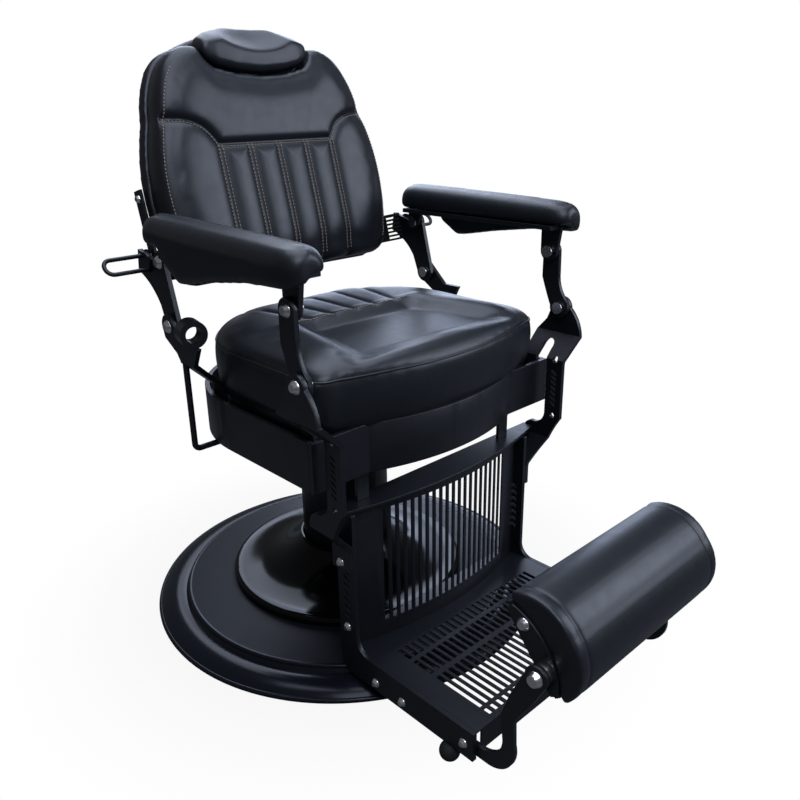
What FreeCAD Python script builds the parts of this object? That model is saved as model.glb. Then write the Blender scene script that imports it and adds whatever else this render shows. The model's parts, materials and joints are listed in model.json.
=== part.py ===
import FreeCAD, Part
import Sketcher
import os
import re
from math import cos, pi, radians, sin

# Barber chair on a round floor base, with a foot pump, a tilting back, arms that follow the back,
# a slotted footrest and a calf roll. Millimetres, +Z up, the front of the chair towards -Y.
# The origin is on the floor, under the middle of the base. "left" is the sitter's left, +X.

Vector = FreeCAD.Vector
X_AXIS = Vector(1, 0, 0)
Y_AXIS = Vector(0, 1, 0)
Z_AXIS = Vector(0, 0, 1)

DIMENSIONS = (
    ("base_radius", 375, "floor base, outer radius"),
    ("base_foot", 4, "height of the rubber floor ring"),
    ("rim_top", 22, "top of the rolled rim"),
    ("skirt_radius", 312, "ring line between rim and skirt"),
    ("skirt_top", 34, "height of the ring line"),
    ("hub_top", 44, "flat middle of the base"),
    ("base_wall", 7, "thickness of the base pressing"),
    ("cover_radius", 226, "foot of the column cover"),
    ("neck_radius", 90, "neck of the column cover"),
    ("neck_top", 118, "top of the column cover"),
    ("spindle_radius", 58, "pump spindle in its socket"),
    ("fit", 0.05, "radial clearance of shafts"),
    ("pump_radius", 84, "pump housing"),
    ("pump_foot", 92, "shoulder of the pump housing"),
    ("pump_top", 372, "top of the pump housing"),
    ("piston_radius", 42, "lift piston"),
    ("piston_foot", 115, "lower end of the piston"),
    ("pedal_angle", 47, "turn of the pedal from +X, in degrees"),
    ("pedal_pivot", 104, "pedal pin, distance from the pump axis"),
    ("pedal_height", 150, "pedal pin, height"),
    ("pedal_reach", 330, "start of the pedal tread from the pump axis"),
    ("mount_bottom", 398, "underside of the seat mounting plate"),
    ("mount_thick", 10, "seat mounting plate"),
    ("frame_rail_height", 25, "side rails of the seat frame"),
    ("board_bottom", 433, "underside of the seat board"),
    ("board_thick", 12, "seat board"),
    ("box_half", 272, "apron, half width"),
    ("box_front", 270, "apron front, distance ahead of the column"),
    ("bow", 34, "forward bow of the apron front"),
    ("crease", 165, "half width of the bowed stretch"),
    ("apron_wall", 8, "apron board"),
    ("apron_bottom", 388, "lower edge of the apron"),
    ("apron_top", 468, "upper edge of the apron"),
    ("corner_start", 45, "rear corner starts this far ahead of the column"),
    ("corner_radius", 225, "rear corners of the apron"),
    ("cushion_half", 255, "seat cushion, half width"),
    ("cushion_top", 568, "seat cushion, crown"),
    ("steel", 8, "laser cut plates"),
    ("gap", 0.5, "play between plates that turn on each other"),
    ("link_plane", 284, "inner face of the arm links"),
    ("leg_plane", 252, "inner face of the front legs under the joggle"),
    ("rear_leg", 238, "inner face of the rear legs under the joggle"),
    ("pivot_hole", 6.05, "holes for the pivot bolts"),
    ("front_y", -280, "front lower pivot"),
    ("front_z", 563, "front lower pivot"),
    ("rear_y", 60, "recline pivot"),
    ("rear_z", 581, "recline pivot"),
    ("link_run", 22, "arm pivots lie this far behind the lower ones"),
    ("link_rise", 100, "arm pivots lie this far above the lower ones"),
    ("bar_front", -318, "slotted bars, front edge"),
    ("bar_rear", -284, "slotted bars, rear edge"),
    ("foot_plane", 204, "inner face of the footrest side plates"),
    ("foot_front", -528, "front end of the footrest"),
    ("foot_rear", -238, "rear edge of the footrest side plates"),
    ("foot_rail_low", 36, "lower edge of the footrest rails"),
    ("foot_top", 85, "tread of the footplate"),
    ("flange_bottom", 332, "underside of the footrest's top flange"),
    ("flange_thick", 6, "footrest's top flange"),
    ("grille_end", -259, "front face of the grille at its ends"),
    ("grille_bow", 33, "forward bow of the grille"),
    ("sheet_thick", 3, "grille and footplate sheet"),
    ("calf_y", -622, "calf roll pivot"),
    ("calf_z", 234, "calf roll pivot"),
    ("calf_half", 178, "calf roll, half length"),
    ("calf_chord", 78, "calf roll, half height of its flat side"),
    ("calf_depth", 68, "calf roll, depth of its round side"),
    ("calf_tilt", -38, "calf roll, turn about X in degrees"),
    ("calf_pin", 8, "calf roll pivot bolts"),
    ("hook_plane", 196, "inner face of the hook arms"),
    ("back_y", 93, "lower front edge of the back"),
    ("back_z", 640, "lower front edge of the back"),
    ("back_tilt", 15, "lean of the back in degrees"),
    ("back_front", 45, "thickness of the back cushion"),
    ("back_board_thick", 12, "board inside the back"),
    ("back_shell_depth", 37, "padded rear shell of the back"),
    ("channel_pitch", 62, "spacing of the sewn channels"),
    ("yoke_height", 227, "yoke seam above the back's lower edge"),
    ("bar_width", 40, "headrest bar"),
    ("bar_thick", 8, "headrest bar"),
    ("arm_bottom", 712, "underside of the arm pads"),
    ("arm_top", 757, "edge of the arm pads' crown"),
    ("arm_inner", 246, "inner side of the arm pads"),
    ("arm_outer", 316, "outer side of the arm pads"),
    ("loop_y", 122, "middle of the release loops"),
    ("loop_z", 676, "middle of the release loops"),
    ("loop_reach", 68, "release loops, length outside the bracket"),
    ("rod_radius", 3.5, "rod of the release loops"),
    ("towel_radius", 5, "rod of the towel bar"),
)

doc = FreeCAD.newDocument("barber_chair")
sizes = doc.addObject("Spreadsheet::Sheet", "Sizes")
for row, (alias, amount, meaning) in enumerate(DIMENSIONS, start=1):
    sizes.set(f"A{row}", meaning)
    sizes.set(f"B{row}", str(amount))
    sizes.setAlias(f"B{row}", alias)
doc.recompute()
ALIASES = {alias for alias, _, _ in DIMENSIONS}

nodes = []


# Formulas over the sheet

def number(formula):
    """Value of a formula: a sum of products of cells and plain numbers."""
    total = 0.0
    for sign, term in re.findall(r"([+-]?)\s*([^+-]+)", formula):
        amount = 1.0
        for operator, factor in re.findall(r"([*/]?)\s*([\w.]+)", term):
            value = float(sizes.get(factor)) if factor in ALIASES else float(factor)
            amount = amount / value if operator == "/" else amount * value
        total += -amount if sign == "-" else amount
    return total


def spelled(formula):
    """The same formula with every cell written as the sheet's own."""
    return re.sub(r"[a-z_]+", lambda found: "Sizes." + found.group(), formula)


def bind(target, **formulas):
    """Bind properties of an object to formulas; a double underscore stands for a dot."""
    for name, formula in formulas.items():
        target.setExpression(name.replace("__", "."), spelled(formula))


# Bodies, sketches and features

def new_body(label):
    body = doc.addObject("PartDesign::Body", label)
    body.Label = label
    return body


def new_sketch(body, plane, offset="0"):
    """A sketch on one of the body's own planes, moved along its normal."""
    sketch = body.newObject("Sketcher::SketchObject", body.Label + "_sketch")
    support = [item for item in body.Origin.OriginFeatures if item.Role == plane]
    sketch.AttachmentSupport = [(support[0], "")]
    sketch.MapMode = "FlatFace"
    sketch.AttachmentOffset = FreeCAD.Placement(Vector(0, 0, number(offset)), FreeCAD.Rotation())
    bind(sketch, AttachmentOffset__Base__z=offset)
    return sketch


def fix_point(sketch, geometry, point, x, y):
    """Hold a point of the sketch at two formulas."""
    for kind, formula in (("DistanceX", x), ("DistanceY", y)):
        rule = Sketcher.Constraint(kind, -1, 1, geometry, point, number(formula))
        index = sketch.addConstraint(rule)
        sketch.setExpression(f"Constraints[{index}]", spelled(formula))


def outline(sketch, corners):
    """A closed outline. A corner is (x, y), or (x, y, (u, v)) where an arc through u, v follows."""
    places = [Vector(number(corner[0]), number(corner[1]), 0) for corner in corners]
    first = sketch.GeometryCount
    count = len(corners)
    ends = []
    for index, corner in enumerate(corners):
        start = places[index]
        end = places[(index + 1) % count]
        clockwise = False
        if len(corner) == 3:
            middle = Vector(number(corner[2][0]), number(corner[2][1]), 0)
            clockwise = (middle - start).cross(end - start).z < 0
            start, end = (end, start) if clockwise else (start, end)
            sketch.addGeometry(Part.Arc(start, middle, end))
        else:
            sketch.addGeometry(Part.LineSegment(start, end))
        ends.append((2, 1) if clockwise else (1, 2))
    for index in range(count):
        after = (index + 1) % count
        rule = Sketcher.Constraint("Coincident", first + index, ends[index][1], first + after, ends[after][0])
        sketch.addConstraint(rule)
    for index, corner in enumerate(corners):
        fix_point(sketch, first + index, ends[index][0], corner[0], corner[1])
        if len(corner) == 3:
            middle = Vector(number(corner[2][0]), number(corner[2][1]), 0)
            mark = sketch.addGeometry(Part.Point(middle), True)
            fix_point(sketch, mark, 1, *corner[2])
            sketch.addConstraint(Sketcher.Constraint("PointOnObject", mark, 1, first + index))


def round_hole(sketch, x, y, radius):
    """A round hole in the outline."""
    centre = Vector(number(x), number(y), 0)
    index = sketch.addGeometry(Part.Circle(centre, Z_AXIS, number(radius)))
    fix_point(sketch, index, 3, x, y)
    rule = sketch.addConstraint(Sketcher.Constraint("Radius", index, number(radius)))
    sketch.setExpression(f"Constraints[{rule}]", spelled(radius))


def pad(body, sketch, length):
    feature = body.newObject("PartDesign::Pad", body.Label + "_pad")
    feature.Profile = sketch
    feature.Length = number(length)
    bind(feature, Length=length)
    return feature


def revolve(label, corners):
    """A turned piece: its half section in the XZ plane, turned about Z."""
    body = new_body(label)
    sketch = new_sketch(body, "XZ_Plane")
    outline(sketch, corners)
    feature = body.newObject("PartDesign::Revolution", label + "_turn")
    feature.Profile = sketch
    feature.ReferenceAxis = (sketch, ["V_Axis"])
    feature.Angle = 360
    return body


def flat_plate(label, plane, offset, length, corners, holes=()):
    """A cut plate: an outline on a plane, with round holes, padded by its thickness."""
    body = new_body(label)
    sketch = new_sketch(body, plane, offset)
    outline(sketch, corners)
    for x, y, radius in holes:
        round_hole(sketch, x, y, radius)
    pad(body, sketch, length)
    return body


def slot_row(body, plane, offset, corners, axis, run, count):
    """A row of equal slots through the whole body, spread along one axis of their sketch."""
    doc.recompute()
    before = body.Shape.Volume
    sketch = new_sketch(body, plane, offset)
    outline(sketch, corners)
    pocket = body.newObject("PartDesign::Pocket", body.Label + "_slot")
    pocket.Profile = sketch
    pocket.Type = 1
    pocket.SideType = "Symmetric"
    row = body.newObject("PartDesign::LinearPattern", body.Label + "_row")
    row.Originals = [pocket]
    row.Direction = (sketch, [axis])
    row.Length = number(run)
    bind(row, Length=run)
    row.Occurrences = count
    body.Tip = row
    doc.recompute()
    if body.Shape.Volume >= before:
        raise RuntimeError(body.Label + ": the slots cut nothing")


def box(label, x, y, z):
    """A block between two formulas on each axis."""
    block = doc.addObject("Part::Box", label)
    for name, axis, (low, high) in (("Length", "x", x), ("Width", "y", y), ("Height", "z", z)):
        block.setExpression(name, spelled(high + negated(low)))
        block.setExpression("Placement.Base." + axis, spelled(low))
    return block


def negated(formula):
    """The formula with every sign turned round."""
    terms = re.findall(r"([+-]?)\s*([^+-]+)", formula)
    return "".join((" + " if sign == "-" else " - ") + term.strip() for sign, term in terms)


def cylinder(label, radius, start, length, axis=Z_AXIS):
    """A round bar from a point of three formulas, along one axis."""
    bar = doc.addObject("Part::Cylinder", label)
    bar.Placement = FreeCAD.Placement(Vector(), FreeCAD.Rotation(Z_AXIS, axis))
    bind(bar, Radius=radius, Height=length)
    for name, formula in zip("xyz", start):
        bar.setExpression("Placement.Base." + name, spelled(formula))
    return bar


def joined(label, pieces):
    group = doc.addObject("Part::MultiFuse", label)
    group.Shapes = pieces
    return group


def compound(label, pieces):
    """Like fasteners kept together as separate solids."""
    group = doc.addObject("Part::Compound", label)
    group.Links = pieces
    return group


def less(label, base, tool):
    cut = doc.addObject("Part::Cut", label)
    cut.Base = base
    cut.Tool = tool
    return cut


def mirrored(source, label):
    """The same piece on the other side of the chair."""
    other = doc.addObject("Part::Mirroring", label)
    other.Source = source
    other.Normal = X_AXIS
    return other


def freeform(label, shape, placement=None):
    """A piece whose shape is lofted or bent here from the sheet's sizes."""
    piece = doc.addObject("Part::Feature", label)
    piece.Shape = shape
    if placement:
        piece.Placement = placement
    return piece


def keep(piece, label=None):
    """Count a piece as a sub-part of the chair."""
    piece.Label = label or piece.Label
    nodes.append(piece)
    return piece


def keep_pair(name, piece):
    """Count a piece on the sitter's left and its mirror on the right."""
    keep(piece, name + "_left")
    keep(mirrored(piece, name + "_right"))


# Lofts of the soft pieces

def closed_wire(points, arcs):
    """A wire through points; arcs maps an edge's index to the point that it bends through."""
    edges = []
    for index, start in enumerate(points):
        end = points[(index + 1) % len(points)]
        if index in arcs:
            edges.append(Part.Arc(start, arcs[index], end).toShape())
        else:
            edges.append(Part.LineSegment(start, end).toShape())
    return Part.Wire(edges)


def loft(wires, ruled=False):
    return Part.makeLoft(wires, True, ruled)


def rod(points, radius, bend):
    """A round rod along straight runs joined by bends of one radius."""
    edges = []
    start = points[0]
    for before, corner, after in zip(points, points[1:], points[2:]):
        inward = (before - corner).normalize()
        outward = (after - corner).normalize()
        first = corner + inward * bend
        last = corner + outward * bend
        centre = first + outward * bend
        middle = centre + (corner - centre).normalize() * bend
        edges.append(Part.LineSegment(start, first).toShape())
        edges.append(Part.Arc(first, middle, last).toShape())
        start = last
    edges.append(Part.LineSegment(start, points[-1]).toShape())
    path = Part.Wire(edges)
    direction = points[1] - points[0]
    section = Part.Wire([Part.Circle(points[0], direction, radius).toShape()])
    solid = path.makePipeShell([section], True, True)
    expected = pi * radius ** 2 * path.Length
    if abs(solid.Volume - expected) > 0.02 * expected:
        raise RuntimeError("a bent rod has the wrong volume")
    return solid


BACK_PLACE = FreeCAD.Placement(
    Vector(0, number("back_y"), number("back_z")),
    FreeCAD.Rotation(X_AXIS, -number("back_tilt")),
)


# Floor base

def floor_base():
    keep(revolve("base_plate", [
        ("70", "hub_top - base_wall"),
        ("cover_radius - 4", "hub_top - base_wall"),
        ("skirt_radius - 6", "skirt_top - base_wall"),
        ("skirt_radius + 4", "rim_top - 5"),
        ("base_radius - 25", "base_foot + 9"),
        ("base_radius - 23", "base_foot"),
        ("base_radius - 7", "base_foot", ("base_radius", "base_foot + 4")),
        ("base_radius - 5", "base_foot + 8", ("base_radius - 17", "rim_top - 2")),
        ("skirt_radius + 10", "rim_top + 1"),
        ("skirt_radius + 6", "skirt_top - 5", ("skirt_radius + 5", "skirt_top - 1")),
        ("skirt_radius - 1", "skirt_top"),
        ("cover_radius + 6", "hub_top - 1"),
        ("cover_radius", "hub_top"),
        ("70", "hub_top"),
    ]))
    keep(revolve("base_floor_pad", [
        ("0", "0"),
        ("base_radius - 10", "0"),
        ("base_radius - 10", "base_foot"),
        ("0", "base_foot"),
    ]))
    keep(revolve("column_cover", [
        ("cover_radius - 6", "hub_top"),
        ("cover_radius", "hub_top"),
        ("cover_radius", "hub_top + 8", ("cover_radius - 3", "hub_top + 14")),
        ("cover_radius - 10", "hub_top + 16", ("neck_radius + 46", "hub_top + 30")),
        ("neck_radius", "neck_top - 8"),
        ("neck_radius", "neck_top"),
        ("neck_radius - 3", "neck_top"),
        ("neck_radius - 3", "neck_top - 9", ("neck_radius + 43", "hub_top + 26")),
        ("cover_radius - 13", "hub_top + 11"),
    ]))
    keep(revolve("pump_socket", [
        ("spindle_radius + fit", "10"),
        ("66", "10"),
        ("66", "hub_top"),
        ("110", "hub_top"),
        ("110", "hub_top + 8"),
        ("66", "hub_top + 8"),
        ("66", "pump_foot - 14"),
        ("spindle_radius + fit", "pump_foot - 14"),
    ]))
    keep(revolve("swivel_bearing", [
        ("spindle_radius + 2", "pump_foot - 14"),
        ("spindle_radius + 22", "pump_foot - 14"),
        ("spindle_radius + 22", "pump_foot - 0.3"),
        ("spindle_radius + 2", "pump_foot - 0.3"),
    ]))


# Pump and pedal

def pump():
    turn = FreeCAD.Placement(Vector(), FreeCAD.Rotation(Z_AXIS, number("pedal_angle")))
    barrel = revolve("pump_barrel", [
        ("0", "14"),
        ("spindle_radius", "14"),
        ("spindle_radius", "pump_foot"),
        ("pump_radius", "pump_foot"),
        ("pump_radius", "pump_top - 4"),
        ("pump_radius - 4", "pump_top"),
        ("piston_radius + fit", "pump_top"),
        ("piston_radius + fit", "piston_foot - 5"),
        ("0", "piston_foot - 5"),
    ])
    cheeks = []
    for low, high in (("-17", "-9.4"), ("9.4", "17")):
        cheek = box("pedal_cheek", ("pump_radius - 8", "pedal_pivot + 13"), (low, high),
                    ("pedal_height - 15", "pedal_height + 15"))
        cheeks.append(cheek)
    eye = cylinder("cheek_hole", "5 + fit", ("pedal_pivot", "-20", "pedal_height"), "40", Y_AXIS)
    ears = less("pedal_ears", joined("pedal_cheeks", cheeks), eye)
    ears.Placement = turn
    bore = cylinder("barrel_bore", "piston_radius + fit", ("0", "0", "piston_foot - 5"), "300")
    keep(less("pump_housing", joined("pump_body", [barrel, ears]), bore))
    pin = cylinder("pedal_pin", "5", ("pedal_pivot", "-19", "pedal_height"), "38", Y_AXIS)
    keep(turned(pin, turn), "pump_pedal_pin")

    arm = flat_plate("pedal_arm", "XZ_Plane", "-9", "18", [
        ("pedal_pivot - 11", "pedal_height", ("pedal_pivot", "pedal_height + 11")),
        ("pedal_pivot + 11", "pedal_height"),
        ("pedal_pivot + 40", "pedal_height - 4"),
        ("pedal_reach - 4", "pedal_height - 38"),
        ("pedal_reach + 74", "pedal_height - 38"),
        ("pedal_reach + 74", "pedal_height - 46"),
        ("pedal_reach - 12", "pedal_height - 46"),
        ("pedal_pivot + 36", "pedal_height - 18"),
        ("pedal_pivot + 4", "pedal_height - 11", ("pedal_pivot - 7", "pedal_height - 8")),
    ], [("pedal_pivot", "pedal_height", "5 + fit")])
    keep(turned(arm, turn), "pump_pedal")
    tread = box("pedal_tread", ("pedal_reach", "pedal_reach + 74"), ("-32", "32"),
                ("pedal_height - 37.4", "pedal_height - 27"))
    keep(turned(rounded(tread, 4), turn), "pedal_pad")


def turned(piece, placement):
    """The piece carried round to the pedal's direction."""
    holder = compound(piece.Label + "_turned", [piece])
    holder.Placement = placement
    return holder


def rounded(piece, radius):
    """All edges of a block rounded."""
    doc.recompute()
    soft = doc.addObject("Part::Fillet", piece.Label + "_rounded")
    soft.Base = piece
    soft.Edges = [(index + 1, radius, radius) for index in range(len(piece.Shape.Edges))]
    return soft


# Seat box

def u_corners(inset):
    """Formulas of the apron's U in plan, on one face of its wall."""
    half = "box_half - " + inset
    turn = "corner_radius - " + inset
    flat = "box_half - corner_radius"
    bend = 1 - cos(radians(45))
    reach = f"box_half - {inset} - {bend:.4f} * corner_radius + {bend:.4f} * {inset}"
    depth = f"{1 - bend:.4f} * corner_radius - {1 - bend:.4f} * {inset} - corner_start"
    return half, "-corner_start + " + turn, flat, reach, depth


def seat_box():
    keep(cylinder("lift_piston", "piston_radius", ("0", "0", "piston_foot"), "mount_bottom - piston_foot"))
    keep(box("seat_mount_plate", ("-rear_leg - steel", "rear_leg + steel"), ("-110", "34"),
             ("mount_bottom", "mount_bottom + mount_thick")))
    rail = box("frame_rail_left", ("leg_plane - 26", "leg_plane"), ("-245", "0"),
               ("mount_bottom + mount_thick", "mount_bottom + mount_thick + frame_rail_height"))
    keep_pair("frame_rail", rail)

    half, rear, flat, reach, depth = u_corners("31")
    keep(flat_plate("seat_board", "XY_Plane", "board_bottom", "board_thick", [
        (negated(half), "-box_front + 14"),
        ("-crease", "-box_front + 14", ("0", "-box_front - bow + 14")),
        ("crease", "-box_front + 14"),
        (half, "-box_front + 14"),
        (half, "-corner_start", (reach, depth)),
        (flat, rear),
        ("-box_half + corner_radius", rear, (negated(reach), depth)),
        (negated(half), "-corner_start"),
    ]))

    outer = u_corners("0")
    inner = u_corners("apron_wall")
    left = [negated(formula) for formula in (outer[0], outer[3], inner[0], inner[3])]
    start = "-box_front + apron_wall"
    keep(flat_plate("apron_shell", "XY_Plane", "apron_bottom", "apron_top - apron_bottom", [
        (outer[0], start),
        (outer[0], "-corner_start", (outer[3], outer[4])),
        (outer[2], outer[1]),
        ("-box_half + corner_radius", outer[1], (left[1], outer[4])),
        (left[0], "-corner_start"),
        (left[0], start),
        (left[2], start),
        (left[2], "-corner_start", (left[3], inner[4])),
        ("-box_half + corner_radius", inner[1]),
        (inner[2], inner[1], (inner[3], inner[4])),
        (inner[0], "-corner_start"),
        (inner[0], start),
    ]))
    keep(flat_plate("apron_front", "XY_Plane", "apron_bottom", "apron_top - apron_bottom", [
        ("-box_half", "-box_front"),
        ("-crease", "-box_front", ("0", "-box_front - bow")),
        ("crease", "-box_front"),
        ("box_half", "-box_front"),
        ("box_half", "-box_front + apron_wall"),
        ("crease", "-box_front + apron_wall", ("0", "-box_front - bow + apron_wall")),
        ("-crease", "-box_front + apron_wall"),
        ("-box_half", "-box_front + apron_wall"),
    ]))


def cushion_wire(height, inset):
    """One level of the seat cushion: bowed front, rounded front corners, round rear corners."""
    half = number("cushion_half") - inset
    front = -256 + inset
    nose = -304 + inset
    start = -52
    radius = 195 - inset
    flat = half - radius
    turn = radius * cos(radians(45))
    points = [
        Vector(-half + 40, front - 9, height),
        Vector(half - 40, front - 9, height),
        Vector(half, front + 34, height),
        Vector(half, start, height),
        Vector(flat, start + radius, height),
        Vector(-flat, start + radius, height),
        Vector(-half, start, height),
        Vector(-half, front + 34, height),
    ]
    arcs = {
        0: Vector(0, nose, height),
        1: Vector(half - 10, front + 5, height),
        3: Vector(flat + turn, start + turn, height),
        5: Vector(-flat - turn, start + turn, height),
        7: Vector(-half + 10, front + 5, height),
    }
    return closed_wire(points, arcs)


def seat_cushion():
    top = number("cushion_top")
    foot = number("board_bottom + board_thick") + 0.3
    levels = ((foot, 18), (foot + 24, 17), (foot + 41, 6), (top - 48, 0), (top - 20, 2), (top - 6, 16), (top, 46))
    shape = loft([cushion_wire(height, inset) for height, inset in levels])
    sunk = []
    for height, grow in ((top - 13, -14), (top + 6, 4)):
        corners = [(-126 - grow, -58 + grow), (-166 - grow, -250 - grow), (166 + grow, -250 - grow),
                   (126 + grow, -58 + grow)]
        sunk.append(closed_wire([Vector(x, y, height) for x, y in corners], {}))
    shape = shape.cut(loft(sunk, True))
    groove = 9
    for lane in (-2, -1, 0, 1, 2):
        start = Vector(46 * lane, -36, top + 3)
        end = Vector(66 * lane, 110, top + 1)
        shape = shape.cut(Part.makeCylinder(groove, (end - start).Length, start, end - start))
    keep(freeform("seat_cushion", shape))


# Brackets that carry the arms, the back and the footrest

def joggled(label, fold, corners, holes, slots=None):
    """A plate that steps inward: its folded section padded along Y, cut to its side outline."""
    strip = new_body(label + "_fold")
    sketch = new_sketch(strip, "XZ_Plane", "-400")
    outline(sketch, fold)
    pad(strip, sketch, "800")
    side = flat_plate(label + "_side", "YZ_Plane", "foot_plane", "110", corners, holes)
    if slots:
        slot_row(side, "YZ_Plane", *slots)
        doc.recompute()
    piece = doc.addObject("Part::Common", label)
    piece.Base = strip
    piece.Tool = side
    return piece


def fold_section(steps, foot):
    """Section of a plate that steps inward: for each step its inner face and the two heights it leans between."""
    plane = "link_plane + steel + gap"
    inside = [(plane, "660")]
    outside = [(plane + " + steel", "660")]
    for inner, high, low in steps:
        inside += [(plane, high + " + 3.3"), (inner, low + " + 3.3")]
        outside += [(plane + " + steel", high), (inner + " + steel", low)]
        plane = inner
    inside.append((plane, foot))
    outside.append((plane + " + steel", foot))
    return inside[:1] + outside + inside[:0:-1]


def front_brackets():
    steps = (("leg_plane", "512", "474"), ("foot_plane + steel + 0.2", "320", "276"))
    bracket = joggled("front_bracket", fold_section(steps, "228"), [
        ("front_y - 19", "front_z", ("front_y", "front_z + 19")),
        ("front_y + 19", "front_z"),
        ("front_y + 30", "front_z - 26"),
        ("front_y + 50", "front_z - 48"),
        ("front_y + 48", "mount_bottom + mount_thick + 2"),
        ("front_y + 20", "mount_bottom + mount_thick + 2"),
        ("front_y + 20", "front_z - 70", ("front_y + 10", "front_z - 58")),
        ("front_y - 2", "front_z - 72"),
        ("bar_rear", "front_z - 94"),
        ("bar_rear", "372", ("bar_rear + 8", "354")),
        ("bar_rear + 30", "348", ("foot_rear - 3", "338")),
        ("foot_rear", "322"),
        ("foot_rear", "236"),
        ("foot_rear - 40", "236"),
        ("foot_rear - 40", "270", ("foot_rear - 56", "322")),
        ("bar_front", "366"),
        ("bar_front", "front_z - 94"),
        ("bar_front - 5", "front_z - 50", ("bar_front + 4", "front_z - 19")),
    ], [
        ("front_y", "front_z", "pivot_hole"),
        ("bar_front + 17", "front_z - 86", "5.5"),
        ("bar_front + 17", "370", "5"),
    ], slots=("leg_plane + 30", [
        ("bar_front + 12", "387"),
        ("bar_front + 23", "393"),
        ("bar_front + 23", "398"),
        ("bar_front + 12", "392"),
    ], "V_Axis", "60", 7))
    keep_pair("front_bracket", bracket)


def rear_brackets():
    """The right one carries the tool ring on its upper edge; the left one is the same cutting."""
    bracket = joggled("rear_bracket", fold_section((("rear_leg", "527", "476"),), "400"), [
        ("rear_y - 4", "rear_z + 20", ("rear_y + 16", "rear_z + 12")),
        ("rear_y + 20", "rear_z"),
        ("rear_y + 14", "rear_z - 20"),
        ("rear_y - 20", "541"),
        ("31", "529"),
        ("31", "mount_bottom + mount_thick + 0.3"),
        ("1", "mount_bottom + mount_thick + 0.3"),
        ("1", "500"),
        ("-14", "534"),
        ("-28", "560.7"),
        ("12", "560.7"),
    ], [("rear_y", "rear_z", "pivot_hole")])
    keep_pair("rear_bracket", bracket)
    axis = Vector(-sin(radians(12)), -cos(radians(12)), 0)
    middle = "-link_plane - gap - 1.5 * steel"
    tube = cylinder("ring_tube", "22", (middle + " + 3.119", "-7 + 14.672", "583"), "30", axis)
    foot = box("ring_foot", ("-link_plane - gap - 2 * steel", "-link_plane - gap - steel"), ("-17", "3"), ("560.7", "567"))
    bore = cylinder("ring_bore", "13", (middle + " + 4.158", "-7 + 19.563", "583"), "40", axis)
    keep(less("tool_ring", joined("ring_body", [tube, foot]), bore))
    outside = -number("link_plane + steel + gap + steel / 2")
    under = -number("rear_leg") + 4
    low = number("apron_bottom") - 12
    path = [Vector(outside, 22, 526.5), Vector(outside, 22, low), Vector(under, 22, low),
            Vector(under, 22, number("mount_bottom"))]
    face = -number("link_plane + gap + 2 * steel") - 0.1
    leg = -number("rear_leg + steel") - 0.1
    lean = [Vector(face, 0, 526.9), Vector(leg, 0, 475.9), Vector(leg, 0, 560), Vector(face, 0, 560)]
    coped = Part.Face(closed_wire(lean, {})).extrude(Vector(0, 50, 0))
    keep(freeform("towel_bar", rod(path, number("towel_radius"), 10).cut(coped)))


def arm_links():
    link = flat_plate("arm_link_left", "YZ_Plane", "link_plane", "steel", [
        ("front_y + link_run - 17", "front_z + link_rise",
         ("front_y + link_run", "front_z + link_rise + 17")),
        ("front_y + link_run + 17", "front_z + link_rise"),
        ("front_y + link_run + 17", "front_z + 52", ("front_y + link_run + 8", "front_z + 28")),
        ("front_y + 19", "front_z + 2", ("front_y + 2", "front_z - 19")),
        ("front_y - 19", "front_z + 2"),
        ("front_y - 17", "front_z + 12", ("front_y - 1", "front_z + 34")),
        ("front_y + link_run - 18", "front_z + 60"),
    ], [
        ("front_y", "front_z", "pivot_hole"),
        ("front_y + link_run", "front_z + link_rise", "pivot_hole"),
    ])
    keep_pair("arm_link", link)


def pivot_bolt(label, y, z, inner, outer, radius="6"):
    """A dome-headed bolt along X with its nut, clear of both plates."""
    length = outer + negated(inner) + " + 6.2"
    shank = cylinder(label + "_shank", radius, (inner + " - 6", y, z), length, X_AXIS)
    head = doc.addObject("Part::Cone", label + "_head")
    head.Placement = FreeCAD.Placement(Vector(), FreeCAD.Rotation(Z_AXIS, X_AXIS))
    bind(head, Radius1=radius + " + 5", Radius2=radius, Height="6",
         Placement__Base__x=outer + " + 0.2", Placement__Base__y=y, Placement__Base__z=z)
    nut = cylinder(label + "_nut", radius + " + 4.5", (inner + " - 6", y, z), "5.8", X_AXIS)
    return joined(label, [shank, head, nut])


def seat_bolts():
    group = []
    for name, y, z in (("front_pivot", "front_y", "front_z"), ("rear_pivot", "rear_y", "rear_z")):
        bolt = pivot_bolt(name, y, z, "link_plane", "link_plane + 2 * steel + gap")
        group += [bolt, mirrored(bolt, name + "_right")]
    keep(compound("seat_pivot_bolts", group))


# Footrest

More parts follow.
